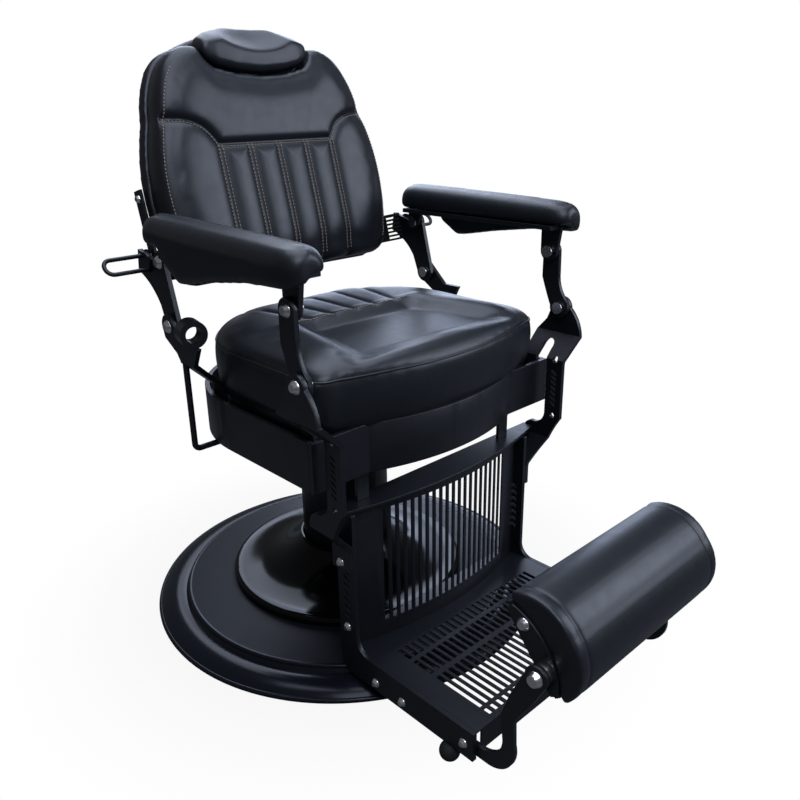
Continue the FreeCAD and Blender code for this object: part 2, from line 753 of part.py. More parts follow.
def footrest():
    keep(flat_plate("footrest_flange", "XY_Plane", "flange_bottom", "flange_thick", [
        ("-leg_plane", "grille_end", ("0", "grille_end - grille_bow - 6")),
        ("leg_plane", "grille_end"),
        ("leg_plane", "grille_end + 21"),
        ("-leg_plane", "grille_end + 21"),
    ]))
    grille = flat_plate("footrest_grille", "XY_Plane", "foot_top", "flange_bottom - foot_top", [
        ("-foot_plane", "grille_end", ("0", "grille_end - grille_bow")),
        ("foot_plane", "grille_end"),
        ("foot_plane", "grille_end + sheet_thick", ("0", "grille_end - grille_bow + sheet_thick")),
        ("-foot_plane", "grille_end + sheet_thick"),
    ])
    slot_row(grille, "XZ_Plane", "-grille_end", [
        ("-146", "foot_top + 28"),
        ("-137.5", "foot_top + 28"),
        ("-137.5", "flange_bottom - 12"),
        ("-146", "flange_bottom - 12"),
    ], "H_Axis", "283.5", 20)
    keep(grille)
    side = flat_plate("footrest_side", "YZ_Plane", "foot_plane", "steel", [
        ("foot_rear", "flange_bottom"),
        ("foot_rear", "foot_rail_low + 30", ("foot_rear - 9", "foot_rail_low + 9")),
        ("foot_rear - 30", "foot_rail_low"),
        ("foot_front", "foot_rail_low"),
        ("foot_front", "foot_top"),
        ("foot_rear - 66", "foot_top", ("foot_rear - 47", "foot_top + 8")),
        ("foot_rear - 40", "foot_top + 28"),
        ("foot_rear - 40", "flange_bottom"),
    ])
    slot_row(side, "YZ_Plane", "foot_plane + 4", [
        ("foot_rear - 27", "140"),
        ("foot_rear - 15", "146"),
        ("foot_rear - 15", "152"),
        ("foot_rear - 27", "146"),
    ], "V_Axis", "84", 7)
    keep_pair("footrest_side", side)
    tread = flat_plate("footplate", "XY_Plane", "foot_top - sheet_thick", "sheet_thick", [
        ("-foot_plane", "foot_rear"),
        ("-foot_plane", "foot_front"),
        ("foot_plane", "foot_front"),
        ("foot_plane", "foot_rear"),
    ])
    for rear, front in (("-322", "-350"), ("-358", "-398"), ("-408", "-498"), ("-504", "-517")):
        slot = [("-163.75", rear), ("-163.75", front), ("-156.25", front), ("-156.25", rear)]
        slot_row(tread, "XY_Plane", "foot_top - 2", slot, "H_Axis", "320", 25)
    lip = box("footplate_lip", ("-hook_plane + 2", "hook_plane - 2"), ("foot_front", "foot_front + sheet_thick"),
              ("foot_top - 40", "foot_top - sheet_thick"))
    keep(joined("footplate_folded", [tread, lip]), "footplate_tread")
    strap = box("footrest_strap", ("156", "180"), ("-256", "-250"),
                ("flange_bottom + flange_thick", "board_bottom"))
    keep_pair("footrest_strap", strap)
    balls = []
    for name, mark in (("left", ""), ("right", "-")):
        ball = doc.addObject("Part::Sphere", "bumper_" + name)
        bind(ball, Radius="16", Placement__Base__x=mark + "foot_plane " + ("- 4" if mark else "+ 4"),
             Placement__Base__y="-480", Placement__Base__z="foot_rail_low - 14")
        balls.append(ball)
    above = box("bumper_trim", ("-300", "300"), ("-520", "-440"), ("foot_rail_low", "foot_rail_low + 40"))
    keep(less("footrest_bumpers", compound("bumper_pair", balls), above))
    studs = []
    rail_bolts = (("-322", "50", "0"), ("-382", "50", "0"), ("-509", "58", "0"), ("foot_rear - 19", "248", "steel + 0.2"),
                  ("foot_rear - 19", "123", "0"))
    for index, (y, z, out) in enumerate(rail_bolts):
        stud = doc.addObject("Part::Cone", f"rail_bolt_{index}")
        stud.Placement = FreeCAD.Placement(Vector(), FreeCAD.Rotation(Z_AXIS, X_AXIS))
        bind(stud, Radius1="8", Radius2="4", Height="5",
             Placement__Base__x="foot_plane + steel + " + out, Placement__Base__y=y, Placement__Base__z=z)
        studs += [stud, mirrored(stud, f"rail_bolt_{index}_right")]
    keep(compound("footrest_bolts", studs))


# Calf roll

def calf_roll():
    hook = flat_plate("calf_hook", "YZ_Plane", "hook_plane", "steel", [
        ("foot_front + 28", "foot_rail_low + 6"),
        ("foot_front - 18", "foot_rail_low + 6", ("foot_front - 52", "foot_rail_low + 20")),
        ("foot_front - 64", "foot_rail_low + 66"),
        ("foot_front - 62", "foot_rail_low + 108"),
        ("calf_y + 2", "calf_z - 40"),
        ("calf_y - 18", "calf_z", ("calf_y", "calf_z + 18")),
        ("calf_y + 18", "calf_z"),
        ("calf_y + 40", "calf_z - 48"),
        ("foot_front - 40", "foot_rail_low + 108"),
        ("foot_front - 44", "foot_rail_low + 72", ("foot_front - 36", "foot_rail_low + 40")),
        ("foot_front - 10", "foot_rail_low + 26"),
        ("foot_front + 28", "foot_rail_low + 26"),
    ], [("calf_y", "calf_z", "calf_pin + fit")])
    keep_pair("calf_hook", hook)
    keep(box("calf_crossbar", ("-hook_plane", "hook_plane"), ("calf_y + 34", "calf_y + 40"),
             ("calf_z - 100", "calf_z - 66")))

    place = calf_place()
    chord = number("calf_chord")
    wires = []
    half = number("calf_half")
    ends = ((0, 5), (1.5, 2.5), (4.5, 1), (9, 0.3), (14, 0))
    rows = [(-half + run, inset) for run, inset in ends]
    rows += [(half - run, inset) for run, inset in reversed(ends)]
    for x, inset in rows:
        reach = chord - inset
        depth = number("calf_depth") - inset
        points = [Vector(x, 0, reach), Vector(x, -depth, 0), Vector(x, 0, -reach)]
        arcs = {0: Vector(x, -0.7 * depth, 0.72 * reach), 1: Vector(x, -0.7 * depth, -0.72 * reach)}
        wires.append(closed_wire(points, arcs))
    keep(freeform("calf_pad", loft(wires, True), place))
    board = Part.makeBox(2 * half - 4, 10, 2 * chord - 20, Vector(-half + 2, 0.3, -chord + 10))
    keep(freeform("calf_board", board, place))
    ends = []
    pin = place.inverse().multVec(Vector(0, number("calf_y"), number("calf_z")))
    for side in (1, -1):
        x = side * (half + 0.3)
        points = [Vector(x, 10, chord - 16), Vector(x, -3, chord - 14), Vector(x, -25, 0), Vector(x, -3, -chord + 14),
                  Vector(x, 10, -chord + 16)]
        face = Part.Face(closed_wire(points, {1: Vector(x, -19, 36), 2: Vector(x, -19, -36)}))
        sheet = face.extrude(Vector(4 * side, 0, 0))
        hole = Part.makeCylinder(number("calf_pin + fit"), 30, Vector(x - 15, pin.y, pin.z), X_AXIS)
        ends.append(sheet.cut(hole))
    keep(freeform("calf_end_plates", Part.makeCompound(ends), place))
    bolts = []
    radius = number("calf_pin")
    inner = number("calf_half") + 0.5
    hook_in = number("hook_plane")
    outer = hook_in + number("steel") + 0.3
    for side in (1, -1):
        axis = X_AXIS * side
        at = Vector(0, number("calf_y"), number("calf_z"))
        solid = Part.makeCylinder(radius, outer - inner, at + axis * inner, axis)
        collar = number("calf_half") + 4.4
        solid = solid.fuse(Part.makeCylinder(radius + 6, hook_in - 0.3 - collar, at + axis * collar, axis))
        solid = solid.fuse(Part.makeCone(radius + 4, radius, 8, at + axis * outer, axis))
        bolts.append(solid)
        upper = place.multVec(Vector(side * (half + 4.4), -5.6, 36))
        bolts.append(Part.makeCone(10, 6, 5, upper, axis))
    keep(freeform("calf_pivot_bolts", Part.makeCompound(bolts)))


def calf_place():
    """The calf roll's own frame: its flat side on XZ, its round side towards -Y."""
    turn = FreeCAD.Rotation(X_AXIS, number("calf_tilt"))
    centre = Vector(0, number("calf_y"), number("calf_z")) - turn.multVec(Vector(0, -5.6, -28.5))
    return FreeCAD.Placement(centre, turn)


# Back and headrest, in the back's own frame: X across, Y towards the rear, Z up the back

def back_wire(depth, inset, low=0, high=0, arch=0):
    """Outline of the back at one depth, drawn in by an inset, its foot raised and its head lowered."""
    top = 386 - inset - high
    foot = inset + low - 6
    side = [
        (182 - inset / 2, foot),
        (227 - inset, foot + 40),
        (217 - inset, 270 - high / 2),
        (195 - inset, 342 - inset / 2 - high),
        (140 - inset, top),
    ]
    bends = [
        (214 - inset, foot + 11),
        (241 - inset, 128),
        (208 - inset, 312 - inset / 4 - 0.75 * high),
        (174 - inset, 369 - 0.8 * inset - high),
    ]
    points = [Vector(x, depth, z) for x, z in side] + [Vector(-x, depth, z) for x, z in reversed(side)]
    arcs = {}
    for index, (x, z) in enumerate(bends):
        arcs[index] = Vector(x, depth, z)
        arcs[8 - index] = Vector(-x, depth, z)
    if arch:
        arcs[4] = Vector(0, depth, top + arch)
    return closed_wire(points, arcs)


def notch(grow):
    """The hollow in the back's upper edge that the headrest sits in."""
    points = [Vector(-118, -20, 430), Vector(-118, -20, 384), Vector(-82, -20, 346),
              Vector(82, -20, 346), Vector(118, -20, 384), Vector(118, -20, 430)]
    arcs = {1: Vector(-109, -20, 360), 2: Vector(0, -20, 335), 3: Vector(109, -20, 360)}
    return Part.Face(closed_wire(points, arcs)).extrude(Vector(0, 20 + grow, 0))


def back():
    front = number("back_front")
    levels = ((front, 5), (front - 16, 0), (16, 3), (5, 14), (0, 38))
    cushion = loft([back_wire(depth, inset) for depth, inset in levels])
    cushion = cushion.cut(notch(front + 5))
    pitch = number("channel_pitch")
    yoke = number("yoke_height")
    runs = [(Vector(lane * pitch, -3, 14), Vector(lane * pitch, -3, yoke)) for lane in (-2, -1, 0, 1, 2)]
    edge = 2 * pitch
    for side in (1, -1):
        runs.append((Vector(side * edge, -3, yoke), Vector(side * (edge + 26), -1, yoke + 24)))
        runs.append((Vector(side * (edge + 26), -1, yoke + 24), Vector(side * 214, 12, yoke + 40)))
    runs.append((Vector(-edge, -3, yoke), Vector(edge, -3, yoke)))
    for start, end in runs:
        cushion = cushion.cut(Part.makeCylinder(8, (end - start).Length, start, end - start))
    keep(freeform("back_cushion", cushion, BACK_PLACE))

    board_front = front + 0.4
    board_rear = board_front + number("back_board_thick")
    board = Part.Face(back_wire(board_front, 16)).extrude(Vector(0, number("back_board_thick"), 0))
    slide = number("bar_width") + 1
    slot = Part.makeBox(slide, 40, 320, Vector(-slide / 2, 30, 110))
    board = board.cut(slot).cut(notch(70))
    keep(freeform("back_board", board, BACK_PLACE))

    shell_front = board_rear + 0.4
    depth = number("back_shell_depth")
    shell = loft([
        back_wire(shell_front, -3, 0, 0, 34),
        back_wire(shell_front + 0.4 * depth, -5, 6, 0, 34),
        back_wire(shell_front + 0.78 * depth, 14, 22, 20, 32),
        back_wire(shell_front + depth, 50, 44, 70, 28),
    ])
    keep(freeform("back_shell", shell, BACK_PLACE))
    return board_front, shell_front + depth


def headrest(board_front):
    wires = []
    half_rows = ((111, 12, 369, 391), (104, 18, 361, 403), (86, 21, 352, 413), (50, 22, 344, 422))
    rows = [(-x, *row) for x, *row in half_rows] + [(0, 22, 340, 424)] + [(x, *row) for x, *row in reversed(half_rows)]
    for x, deep, low, high in rows:
        tall = high - low
        edge = min(14, 0.3 * tall)
        front = 19 - deep
        brow = low + 0.42 * tall
        corners = [Vector(x, front, brow), Vector(x, 32, high), Vector(x, 46, high - edge), Vector(x, 46, low + edge),
                   Vector(x, 22, low)]
        slope = Vector(0, brow - high, 32 - front).normalize()
        bends = {
            0: (corners[0] + corners[1]) * 0.5 + slope * 2.5,
            1: Vector(x, 41, high - 0.3 * edge),
            3: Vector(x, 36, low + 0.3 * edge),
            4: Vector(x, 19 - 0.74 * deep, low + 0.14 * tall),
        }
        wires.append(closed_wire(corners, bends))
    pad_shape = loft(wires)
    scoop = Part.makeSphere(216, Vector(0, -158, 522))
    pad_shape = pad_shape.cut(scoop)
    rear = board_front + 2
    plate_front = 41.5
    clear = Part.makeBox(300, 60, 200, Vector(-150, plate_front - 0.2, 300))
    keep(freeform("headrest_pad", pad_shape.cut(clear), BACK_PLACE))
    plate = Part.makeBox(130, rear - plate_front, 34, Vector(-65, plate_front, 362))
    keep(freeform("headrest_plate", plate, BACK_PLACE))
    width = number("bar_width")
    bar = Part.makeBox(width, number("bar_thick"), 250, Vector(-width / 2, rear, 140))
    keep(freeform("headrest_bar", bar, BACK_PLACE))


def back_brackets(shell_rear):
    cheek = flat_plate("back_cheek", "YZ_Plane", "link_plane", "steel", [
        ("rear_y - 20", "rear_z"),
        ("rear_y + link_run - 16", "rear_z + link_rise",
         ("rear_y + link_run", "rear_z + link_rise + 16")),
        ("rear_y + link_run + 16", "rear_z + link_rise"),
        ("loop_y + 28", "loop_z + 18"),
        ("loop_y + 34", "loop_z - 18", ("rear_y + 56", "rear_z + 56")),
        ("rear_y + 32", "rear_z + 30"),
        ("rear_y + 20", "rear_z", ("rear_y", "rear_z - 20")),
    ], [
        ("rear_y", "rear_z", "pivot_hole"),
        ("rear_y + link_run", "rear_z + link_rise", "pivot_hole"),
        ("loop_y", "loop_z", "5 + fit"),
    ])
    inside = number("link_plane") + 1
    back_face = shell_rear + 0.5
    rear_face = back_face + 5
    points = [(inside, 26), (inside, 36), (263, 68), (243, rear_face), (150, rear_face), (150, back_face),
              (240, back_face), (258, 62)]
    face = Part.Face(closed_wire([Vector(x, y, 10) for x, y in points], {}))
    wing = face.extrude(Vector(0, 0, 54))
    tab = Part.makeBox(34, 5, 90, Vector(176, back_face, 60))
    wing = wing.fuse(tab)
    strap = Part.makeBox(5, 22, 140, Vector(251, 58, 24))
    wing = wing.fuse(strap)
    for fin in range(6):
        slit = Part.makeBox(38, 30, 4, Vector(246, 25, 14 + 8 * fin))
        wing = wing.cut(slit)
    finned = freeform("back_wing", wing, BACK_PLACE)
    bracket = joined("back_bracket", [cheek, finned])
    keep_pair("back_bracket", bracket)

    group = []
    bolt = pivot_bolt("arm_rear_bolt", "rear_y + link_run", "rear_z + link_rise",
                      "link_plane - steel - gap", "link_plane + steel")
    group += [bolt, mirrored(bolt, "arm_rear_bolt_right")]
    heads = []
    for x, z in ((172, 36), (193, 132)):
        for side in (1, -1):
            heads.append(Part.makeCone(8, 4, 5, Vector(side * x, rear_face, z), Y_AXIS))
    for side in (1, -1):
        heads.append(Part.makeCone(7, 4, 5, Vector(side * 256, 69, 150), X_AXIS * side))
    group.append(freeform("wing_bolts", Part.makeCompound(heads), BACK_PLACE))
    keep(compound("back_bolts", group))


# Arms and release loops

def arm_wire(y, inset, valance):
    """Section of an arm pad: crowned top, and an outer valance that hangs to its own depth."""
    inner = number("arm_inner") + inset
    outer = number("arm_outer") - inset
    bottom = number("arm_bottom") + 0.2 * inset
    top = number("arm_top") - 0.02 * (90 - y) - 0.7 * inset
    hang = min(valance, bottom - 1)
    points = [
        Vector(inner + 4, y, bottom),
        Vector(295 - inset, y, bottom),
        Vector(297 - inset, y, hang + 3),
        Vector(outer - 4, y, hang),
        Vector(outer, y, hang + 8),
        Vector(outer, y, top - 12),
        Vector(outer - 14, y, top),
        Vector(inner + 14, y, top),
        Vector(inner, y, top - 12),
        Vector(inner, y, bottom + 4),
    ]
    lean = 0.29
    arcs = {
        5: Vector(outer - 14 * lean, y, top - 12 * lean),
        6: Vector((inner + outer) / 2, y, top + 4),
        7: Vector(inner + 14 * lean, y, top - 12 * lean),
    }
    return closed_wire(points, arcs)


def arms():
    rows = ((-306, 20, 711), (-302, 13, 708), (-294, 6, 705.5), (-280, 1.5, 704), (-262, 0, 702), (-200, 0, 697),
            (-110, 0, 680), (-40, 0, 664), (-14, 0, 661), (24, 0, 684), (44, 0, 711), (66, 0, 711), (82, 2, 711),
            (94, 7, 711), (101, 14, 711), (104, 20, 711))
    keep_pair("arm_pad", freeform("arm_pad", loft([arm_wire(*row) for row in rows], True)))

    lug_plane = "link_plane - steel - gap"
    bar = box("arm_bar", ("link_plane - 37", "link_plane - gap"), ("-280", "84"),
              ("arm_bottom - 8", "arm_bottom - 0.3"))
    lugs = []
    for name, y, z, radius in (("front", "front_y", "front_z", "17"), ("rear", "rear_y", "rear_z", "14")):
        at_y = y + " + link_run"
        at_z = z + " + link_rise"
        lugs.append(flat_plate("arm_lug_" + name, "YZ_Plane", lug_plane, "steel", [
            (at_y + " - " + radius, at_z, (at_y, at_z + " - " + radius)),
            (at_y + " + " + radius, at_z),
            (at_y + " + " + radius, "arm_bottom - 4"),
            (at_y + " - 24", "arm_bottom - 4"),
        ], [(at_y, at_z, "pivot_hole")]))
    keep_pair("arm_frame", joined("arm_frame", [bar] + lugs))
    bolt = pivot_bolt("arm_front_bolt", "front_y + link_run", "front_z + link_rise",
                      "link_plane - steel - gap", "link_plane + steel")
    keep_pair("arm_front_bolt", bolt)


def release_loops():
    """A bent rod on a round foot, whose plunger slides through the back bracket."""
    face = number("link_plane + steel") + 0.4
    centre = Vector(face, number("loop_y"), number("loop_z"))
    spread = Vector(0, 9, 10)
    start = centre + Vector(3, 0, 0)
    reach = Vector(number("loop_reach"), 0, 0)
    bend = spread.Length - 0.6
    path = [start + spread, start + spread + reach, start - spread + reach, start - spread]
    loop = rod(path, number("rod_radius"), bend)
    foot = Part.makeCylinder(17, 4, centre, X_AXIS)
    depth = number("steel") + 0.4
    plunger = Part.makeCylinder(5, depth + 1, centre - X_AXIS * depth, X_AXIS)
    keep_pair("release_loop", freeform("release_loop", loop.fuse(foot).fuse(plunger)))


floor_base()
pump()
seat_box()
seat_cushion()
front_brackets()
rear_brackets()
arm_links()
seat_bolts()
footrest()
calf_roll()
board_face, shell_face = back()
headrest(board_face)
back_brackets(shell_face)
arms()
release_loops()
doc.recompute()

for item in doc.Objects:
    if "Invalid" in item.State or "Error" in item.State:
        raise RuntimeError(f"{item.Label} failed: {item.State} {item.getStatusString()}")
for piece in nodes:
    if piece.Shape.isNull() or not piece.Shape.isValid() or not piece.Shape.Solids:
        raise RuntimeError(piece.Label + " has no valid solid")
os.makedirs("parts", exist_ok=True)
for piece in nodes:
    piece.Shape.exportStep(f"parts/{piece.Label}.step")
print(len(nodes), "sub-parts written")
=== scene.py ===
"""Barber chair: camera, studio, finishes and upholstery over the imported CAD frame.

Sizes are in millimetres in each piece's own frame, and become metres when a piece is set in place.
"""

from __future__ import annotations

import json
import logging
import math
from dataclasses import dataclass, field
from enum import Enum

import bmesh
import bpy
import numpy as np
from bpy.types import ID, Material, Mesh, Node, NodeSocket, NodeTree, Object
from mathutils import Matrix, Vector
from mathutils.bvhtree import BVHTree

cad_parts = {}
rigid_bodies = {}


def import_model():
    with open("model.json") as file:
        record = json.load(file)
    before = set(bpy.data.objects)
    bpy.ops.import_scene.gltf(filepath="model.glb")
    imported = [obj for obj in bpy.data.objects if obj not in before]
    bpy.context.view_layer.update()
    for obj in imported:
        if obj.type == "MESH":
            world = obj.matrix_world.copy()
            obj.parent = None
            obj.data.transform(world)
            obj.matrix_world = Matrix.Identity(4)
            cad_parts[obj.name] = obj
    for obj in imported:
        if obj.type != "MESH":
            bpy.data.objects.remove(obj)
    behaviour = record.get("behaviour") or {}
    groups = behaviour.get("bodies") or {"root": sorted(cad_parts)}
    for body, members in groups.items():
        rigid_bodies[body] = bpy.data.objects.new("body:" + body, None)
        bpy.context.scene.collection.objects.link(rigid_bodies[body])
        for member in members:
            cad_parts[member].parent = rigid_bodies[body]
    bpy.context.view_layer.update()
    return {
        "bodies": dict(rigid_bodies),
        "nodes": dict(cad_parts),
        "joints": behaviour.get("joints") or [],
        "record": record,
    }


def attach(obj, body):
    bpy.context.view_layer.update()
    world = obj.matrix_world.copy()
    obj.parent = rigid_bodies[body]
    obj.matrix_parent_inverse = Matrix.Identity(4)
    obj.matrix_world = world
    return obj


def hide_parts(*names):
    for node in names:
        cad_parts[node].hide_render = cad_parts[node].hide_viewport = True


LOG = logging.getLogger("barber_chair")
MM = 0.001
TINY = 1e-9
STRAIGHT = 1e-6

# Sockets of a Mix node go by number, because their names repeat for each kind of data
RGBA_A, RGBA_B, RGBA_OUT = 6, 7, 2
VECTOR_A, VECTOR_B, VECTOR_OUT = 4, 5, 1

Array = np.ndarray
Point = tuple[float, ...]
Points = tuple[Point, ...]
Lines = list[list[Vector]]


class Slot(Enum):
    """The record's material slots."""

    BASE_PAINT = "base_paint"
    GLOSS_BLACK = "gloss_black"
    BLACK_PAINT = "black_paint"
    BARE_STEEL = "bare_steel"
    BRIGHT_BOLTS = "bright_bolts"
    BLACK_RUBBER = "black_rubber"
    PLYWOOD = "plywood"
    BLACK_LEATHER = "black_leather"


# Nodes and colours


def linear(colour: str) -> tuple[float, float, float, float]:
    """Turns an sRGB hex colour into linear RGBA.

    Args:
        colour: Six hex digits after a hash sign.

    Returns:
        Red, green, blue and alpha for a node socket.
    """
    parts = [int(colour[i:i + 2], 16) / 255 for i in (1, 3, 5)]
    made = [c / 12.92 if c <= 0.04045 else ((c + 0.055) / 1.055) ** 2.4 for c in parts]
    return (*made, 1.0)


def add(tree: NodeTree, kind: str, values: dict | None = None, links: dict | None = None,
        **settings: object) -> Node:
    """Adds a node with its settings and links.

    Args:
        tree: The node tree.
        kind: Blender's type name of the node.
        values: Constants by input name or number.
        links: Source sockets by input name or number.
        settings: Properties of the node itself.

    Returns:
        The new node.
    """
    node = tree.nodes.new(kind)
    for name, value in settings.items():
        setattr(node, name, value)
    for name, value in (values or {}).items():
        node.inputs[name].default_value = value
    for name, source in (links or {}).items():
        tree.links.new(source, node.inputs[name])
    return node


def per_metre(size: float) -> float:
    """Texture scale whose features are about `size` millimetres."""
    return 1000.0 / size


# Finishes


@dataclass(frozen=True)
class Finish:
    """A surface finish: colour and gloss, with a pattern that subclasses add."""

    name: str
    colour: str
    shade: str
    roughness: float
    metallic: float = 0.0
    specular: float = 0.5
    mottle: float = 60.0
    spread: float = 0.06
    grain: float = 2.0
    relief: float = 0.05
    strength: float = 0.2

    def material(self) -> Material:
        """Builds the material.

        Returns:
            A node material named for its substance.
        """
        material = bpy.data.materials.new(self.name)
        material.use_nodes = True
        tree = material.node_tree
        shader = tree.nodes["Principled BSDF"]
        shader.inputs["Metallic"].default_value = self.metallic
        if not self.metallic:
            shader.inputs["Specular IOR Level"].default_value = self.specular
        place = add(tree, "ShaderNodeTexCoord").outputs["Object"]
        self.tint(tree, shader, place)
        height = self.surface(tree, place)
        bump = add(tree, "ShaderNodeBump", {"Strength": self.strength, "Distance": self.relief * MM},
                   {"Height": height})
        tree.links.new(bump.outputs["Normal"], shader.inputs["Normal"])
        return material

    def tint(self, tree: NodeTree, shader: Node, place: NodeSocket) -> None:
        """Mottles colour and roughness by a soft cloud.

        Args:
            tree: The material's tree.
            shader: Its surface shader.
            place: Object coordinates.
        """
        cloud = add(tree, "ShaderNodeTexNoise", {"Scale": per_metre(self.mottle), "Detail": 4.0},
                    {"Vector": place})
        mix = add(tree, "ShaderNodeMix", {RGBA_A: linear(self.shade), RGBA_B: linear(self.colour)},
                  {0: cloud.outputs["Fac"]}, data_type="RGBA")
        tree.links.new(mix.outputs[RGBA_OUT], shader.inputs["Base Color"])
        fine = add(tree, "ShaderNodeTexNoise", {"Scale": per_metre(self.mottle / 5), "Detail": 6.0},
                   {"Vector": place})
        limits = {"To Min": self.roughness - self.spread, "To Max": self.roughness + self.spread}
        rough = add(tree, "ShaderNodeMapRange", limits, {"Value": fine.outputs["Fac"]})
        tree.links.new(rough.outputs["Result"], shader.inputs["Roughness"])

    def surface(self, tree: NodeTree, place: NodeSocket) -> NodeSocket:
        """Height of the surface pattern, here a fine even texture.

        Args:
            tree: The material's tree.
            place: Object coordinates.

        Returns:
            The socket with the height.
        """
        return add(tree, "ShaderNodeTexNoise", {"Scale": per_metre(self.grain), "Detail": 3.0},
                   {"Vector": place}).outputs["Fac"]


@dataclass(frozen=True)
class GrainedVinyl(Finish):
    """Coated upholstery vinyl: an embossed pebble grain over slow waves of the foam."""

    bend: float = 0.0022
    wave: float = 26.0
    lift: float = 2.2

    def surface(self, tree: NodeTree, place: NodeSocket) -> NodeSocket:
        """Height of pebbles with creases between them (see Finish.surface)."""
        warp = add(tree, "ShaderNodeTexNoise", {"Scale": per_metre(self.grain * 3), "Detail": 2.0},
                   {"Vector": place})
        bent = add(tree, "ShaderNodeMix", {0: self.bend}, {VECTOR_A: place, VECTOR_B: warp.outputs["Color"]},
                   data_type="VECTOR")
        pebble = add(tree, "ShaderNodeTexVoronoi", {"Scale": per_metre(self.grain), "Smoothness": 0.6},
                     {"Vector": bent.outputs[VECTOR_OUT]}, feature="SMOOTH_F1")
        wave = add(tree, "ShaderNodeTexNoise", {"Scale": per_metre(self.wave), "Detail": 2.0},
                   {"Vector": place})
        lifted = add(tree, "ShaderNodeMath", {1: self.lift}, {0: wave.outputs["Fac"]}, operation="MULTIPLY")
        return add(tree, "ShaderNodeMath", None, {0: lifted.outputs[0], 1: pebble.outputs["Distance"]},
                   operation="SUBTRACT").outputs[0]


@dataclass(frozen=True)
class DrawnGrain(Finish):
    """A texture drawn out along some axes: rings off a lathe that stretch glints, or fibres of wood."""

    stretch: Point = (0.06, 0.06, 1.0)
    detail: float = 4.0

    def surface(self, tree: NodeTree, place: NodeSocket) -> NodeSocket:
        """Height of the drawn-out texture (see Finish.surface)."""
        drawn = add(tree, "ShaderNodeMapping", {"Scale": self.stretch}, {"Vector": place})
        return add(tree, "ShaderNodeTexNoise", {"Scale": per_metre(self.grain), "Detail": self.detail},
                   {"Vector": drawn.outputs["Vector"]}).outputs["Fac"]


@dataclass(frozen=True)
class RolledPaint(Finish):
    """Paint on a round pressing: its middle as given, more polished on the rolled rim around it."""

    rim: float = 311.0
    polish: float = 0.2
    blend: float = 3.0

    def tint(self, tree: NodeTree, shader: Node, place: NodeSocket) -> None:
        """Adds the rim's polish by distance from the middle (see Finish.tint)."""
        super().tint(tree, shader, place)
        satin = shader.inputs["Roughness"].links[0].from_socket
        flat = add(tree, "ShaderNodeVectorMath", {1: (1, 1, 0)}, {0: place}, operation="MULTIPLY")
        away = add(tree, "ShaderNodeVectorMath", None, {0: flat.outputs[0]}, operation="LENGTH")
        limits = {"From Min": (self.rim - self.blend) * MM, "From Max": (self.rim + self.blend) * MM}
        rough = add(tree, "ShaderNodeMapRange", {**limits, "To Max": self.polish},
                    {"Value": away.outputs["Value"], "To Min": satin})
        tree.links.new(rough.outputs["Result"], shader.inputs["Roughness"])


FINISHES: dict[Slot, Finish] = {
    # Stoved paint on pressed steel: dark blue-grey, a broad soft sheen on the disc, glints on the rim
    Slot.BASE_PAINT: RolledPaint("stoved_base_paint", "#14171D", "#101318", 0.44, specular=0.17,
                                 mottle=120, spread=0.05, grain=1.8, relief=0.02, strength=0.08),
    # Gloss enamel on a spun cover: near black with sharp long glints
    Slot.GLOSS_BLACK: RolledPaint("gloss_enamel", "#090A0B", "#060708", 0.13, specular=0.16, mottle=150,
                                  spread=0.04, grain=6.0, relief=0.02, strength=0.1, rim=212, polish=0.06),
    # Satin powder coat on laser-cut steel: black, a slight orange peel breaks the sheen
    Slot.BLACK_PAINT: Finish("satin_powder_coat", "#12151A", "#0E1014", 0.38, specular=0.42,
                             mottle=70, spread=0.06, grain=1.5, relief=0.05, strength=0.25),
    # Turned carbon steel: grey, ringed
    Slot.BARE_STEEL: DrawnGrain("turned_steel", "#A9A8A5", "#8E8E8C", 0.30, metallic=1.0,
                                mottle=40, spread=0.07, grain=0.8, relief=0.03, strength=0.3),
    # Bright nickel plate on screw heads: pale and mirror-like, a little hazy
    Slot.BRIGHT_BOLTS: DrawnGrain("bright_nickel_plate", "#E9E8E5", "#D6D5D2", 0.24, metallic=1.0,
                                  mottle=12, spread=0.06, grain=0.6, relief=0.02, strength=0.2),
    # Moulded rubber: dull black with a dusty bloom
    Slot.BLACK_RUBBER: Finish("moulded_rubber", "#191919", "#202020", 0.72, specular=0.35,
                              mottle=25, spread=0.08, grain=1.0, relief=0.08, strength=0.3),
    # Birch plywood under a black stain: dull, the fibres just show
    Slot.PLYWOOD: DrawnGrain("stained_plywood", "#1C1A18", "#151412", 0.65, mottle=30, spread=0.08, grain=3.0,
                             relief=0.1, strength=0.4, stretch=(0.08, 1.0, 1.0), detail=5.0),
    # Grained upholstery vinyl: satin black; the pebble is drawn at 2.6 mm, coarser than real, to show
    Slot.BLACK_LEATHER: GrainedVinyl("grained_upholstery_vinyl", "#13161B", "#0F1216", 0.38, specular=0.42,
                                     mottle=90, spread=0.07, grain=2.6, relief=0.16, strength=0.35),
}

# Waxed polyester thread: grey-brown, dull, twisted
THREAD = Finish("waxed_brown_thread", "#8F8273", "#74695D", 0.75, specular=0.3, mottle=8, grain=0.7,
                relief=0.1, strength=0.4)


# Outlines and meshes


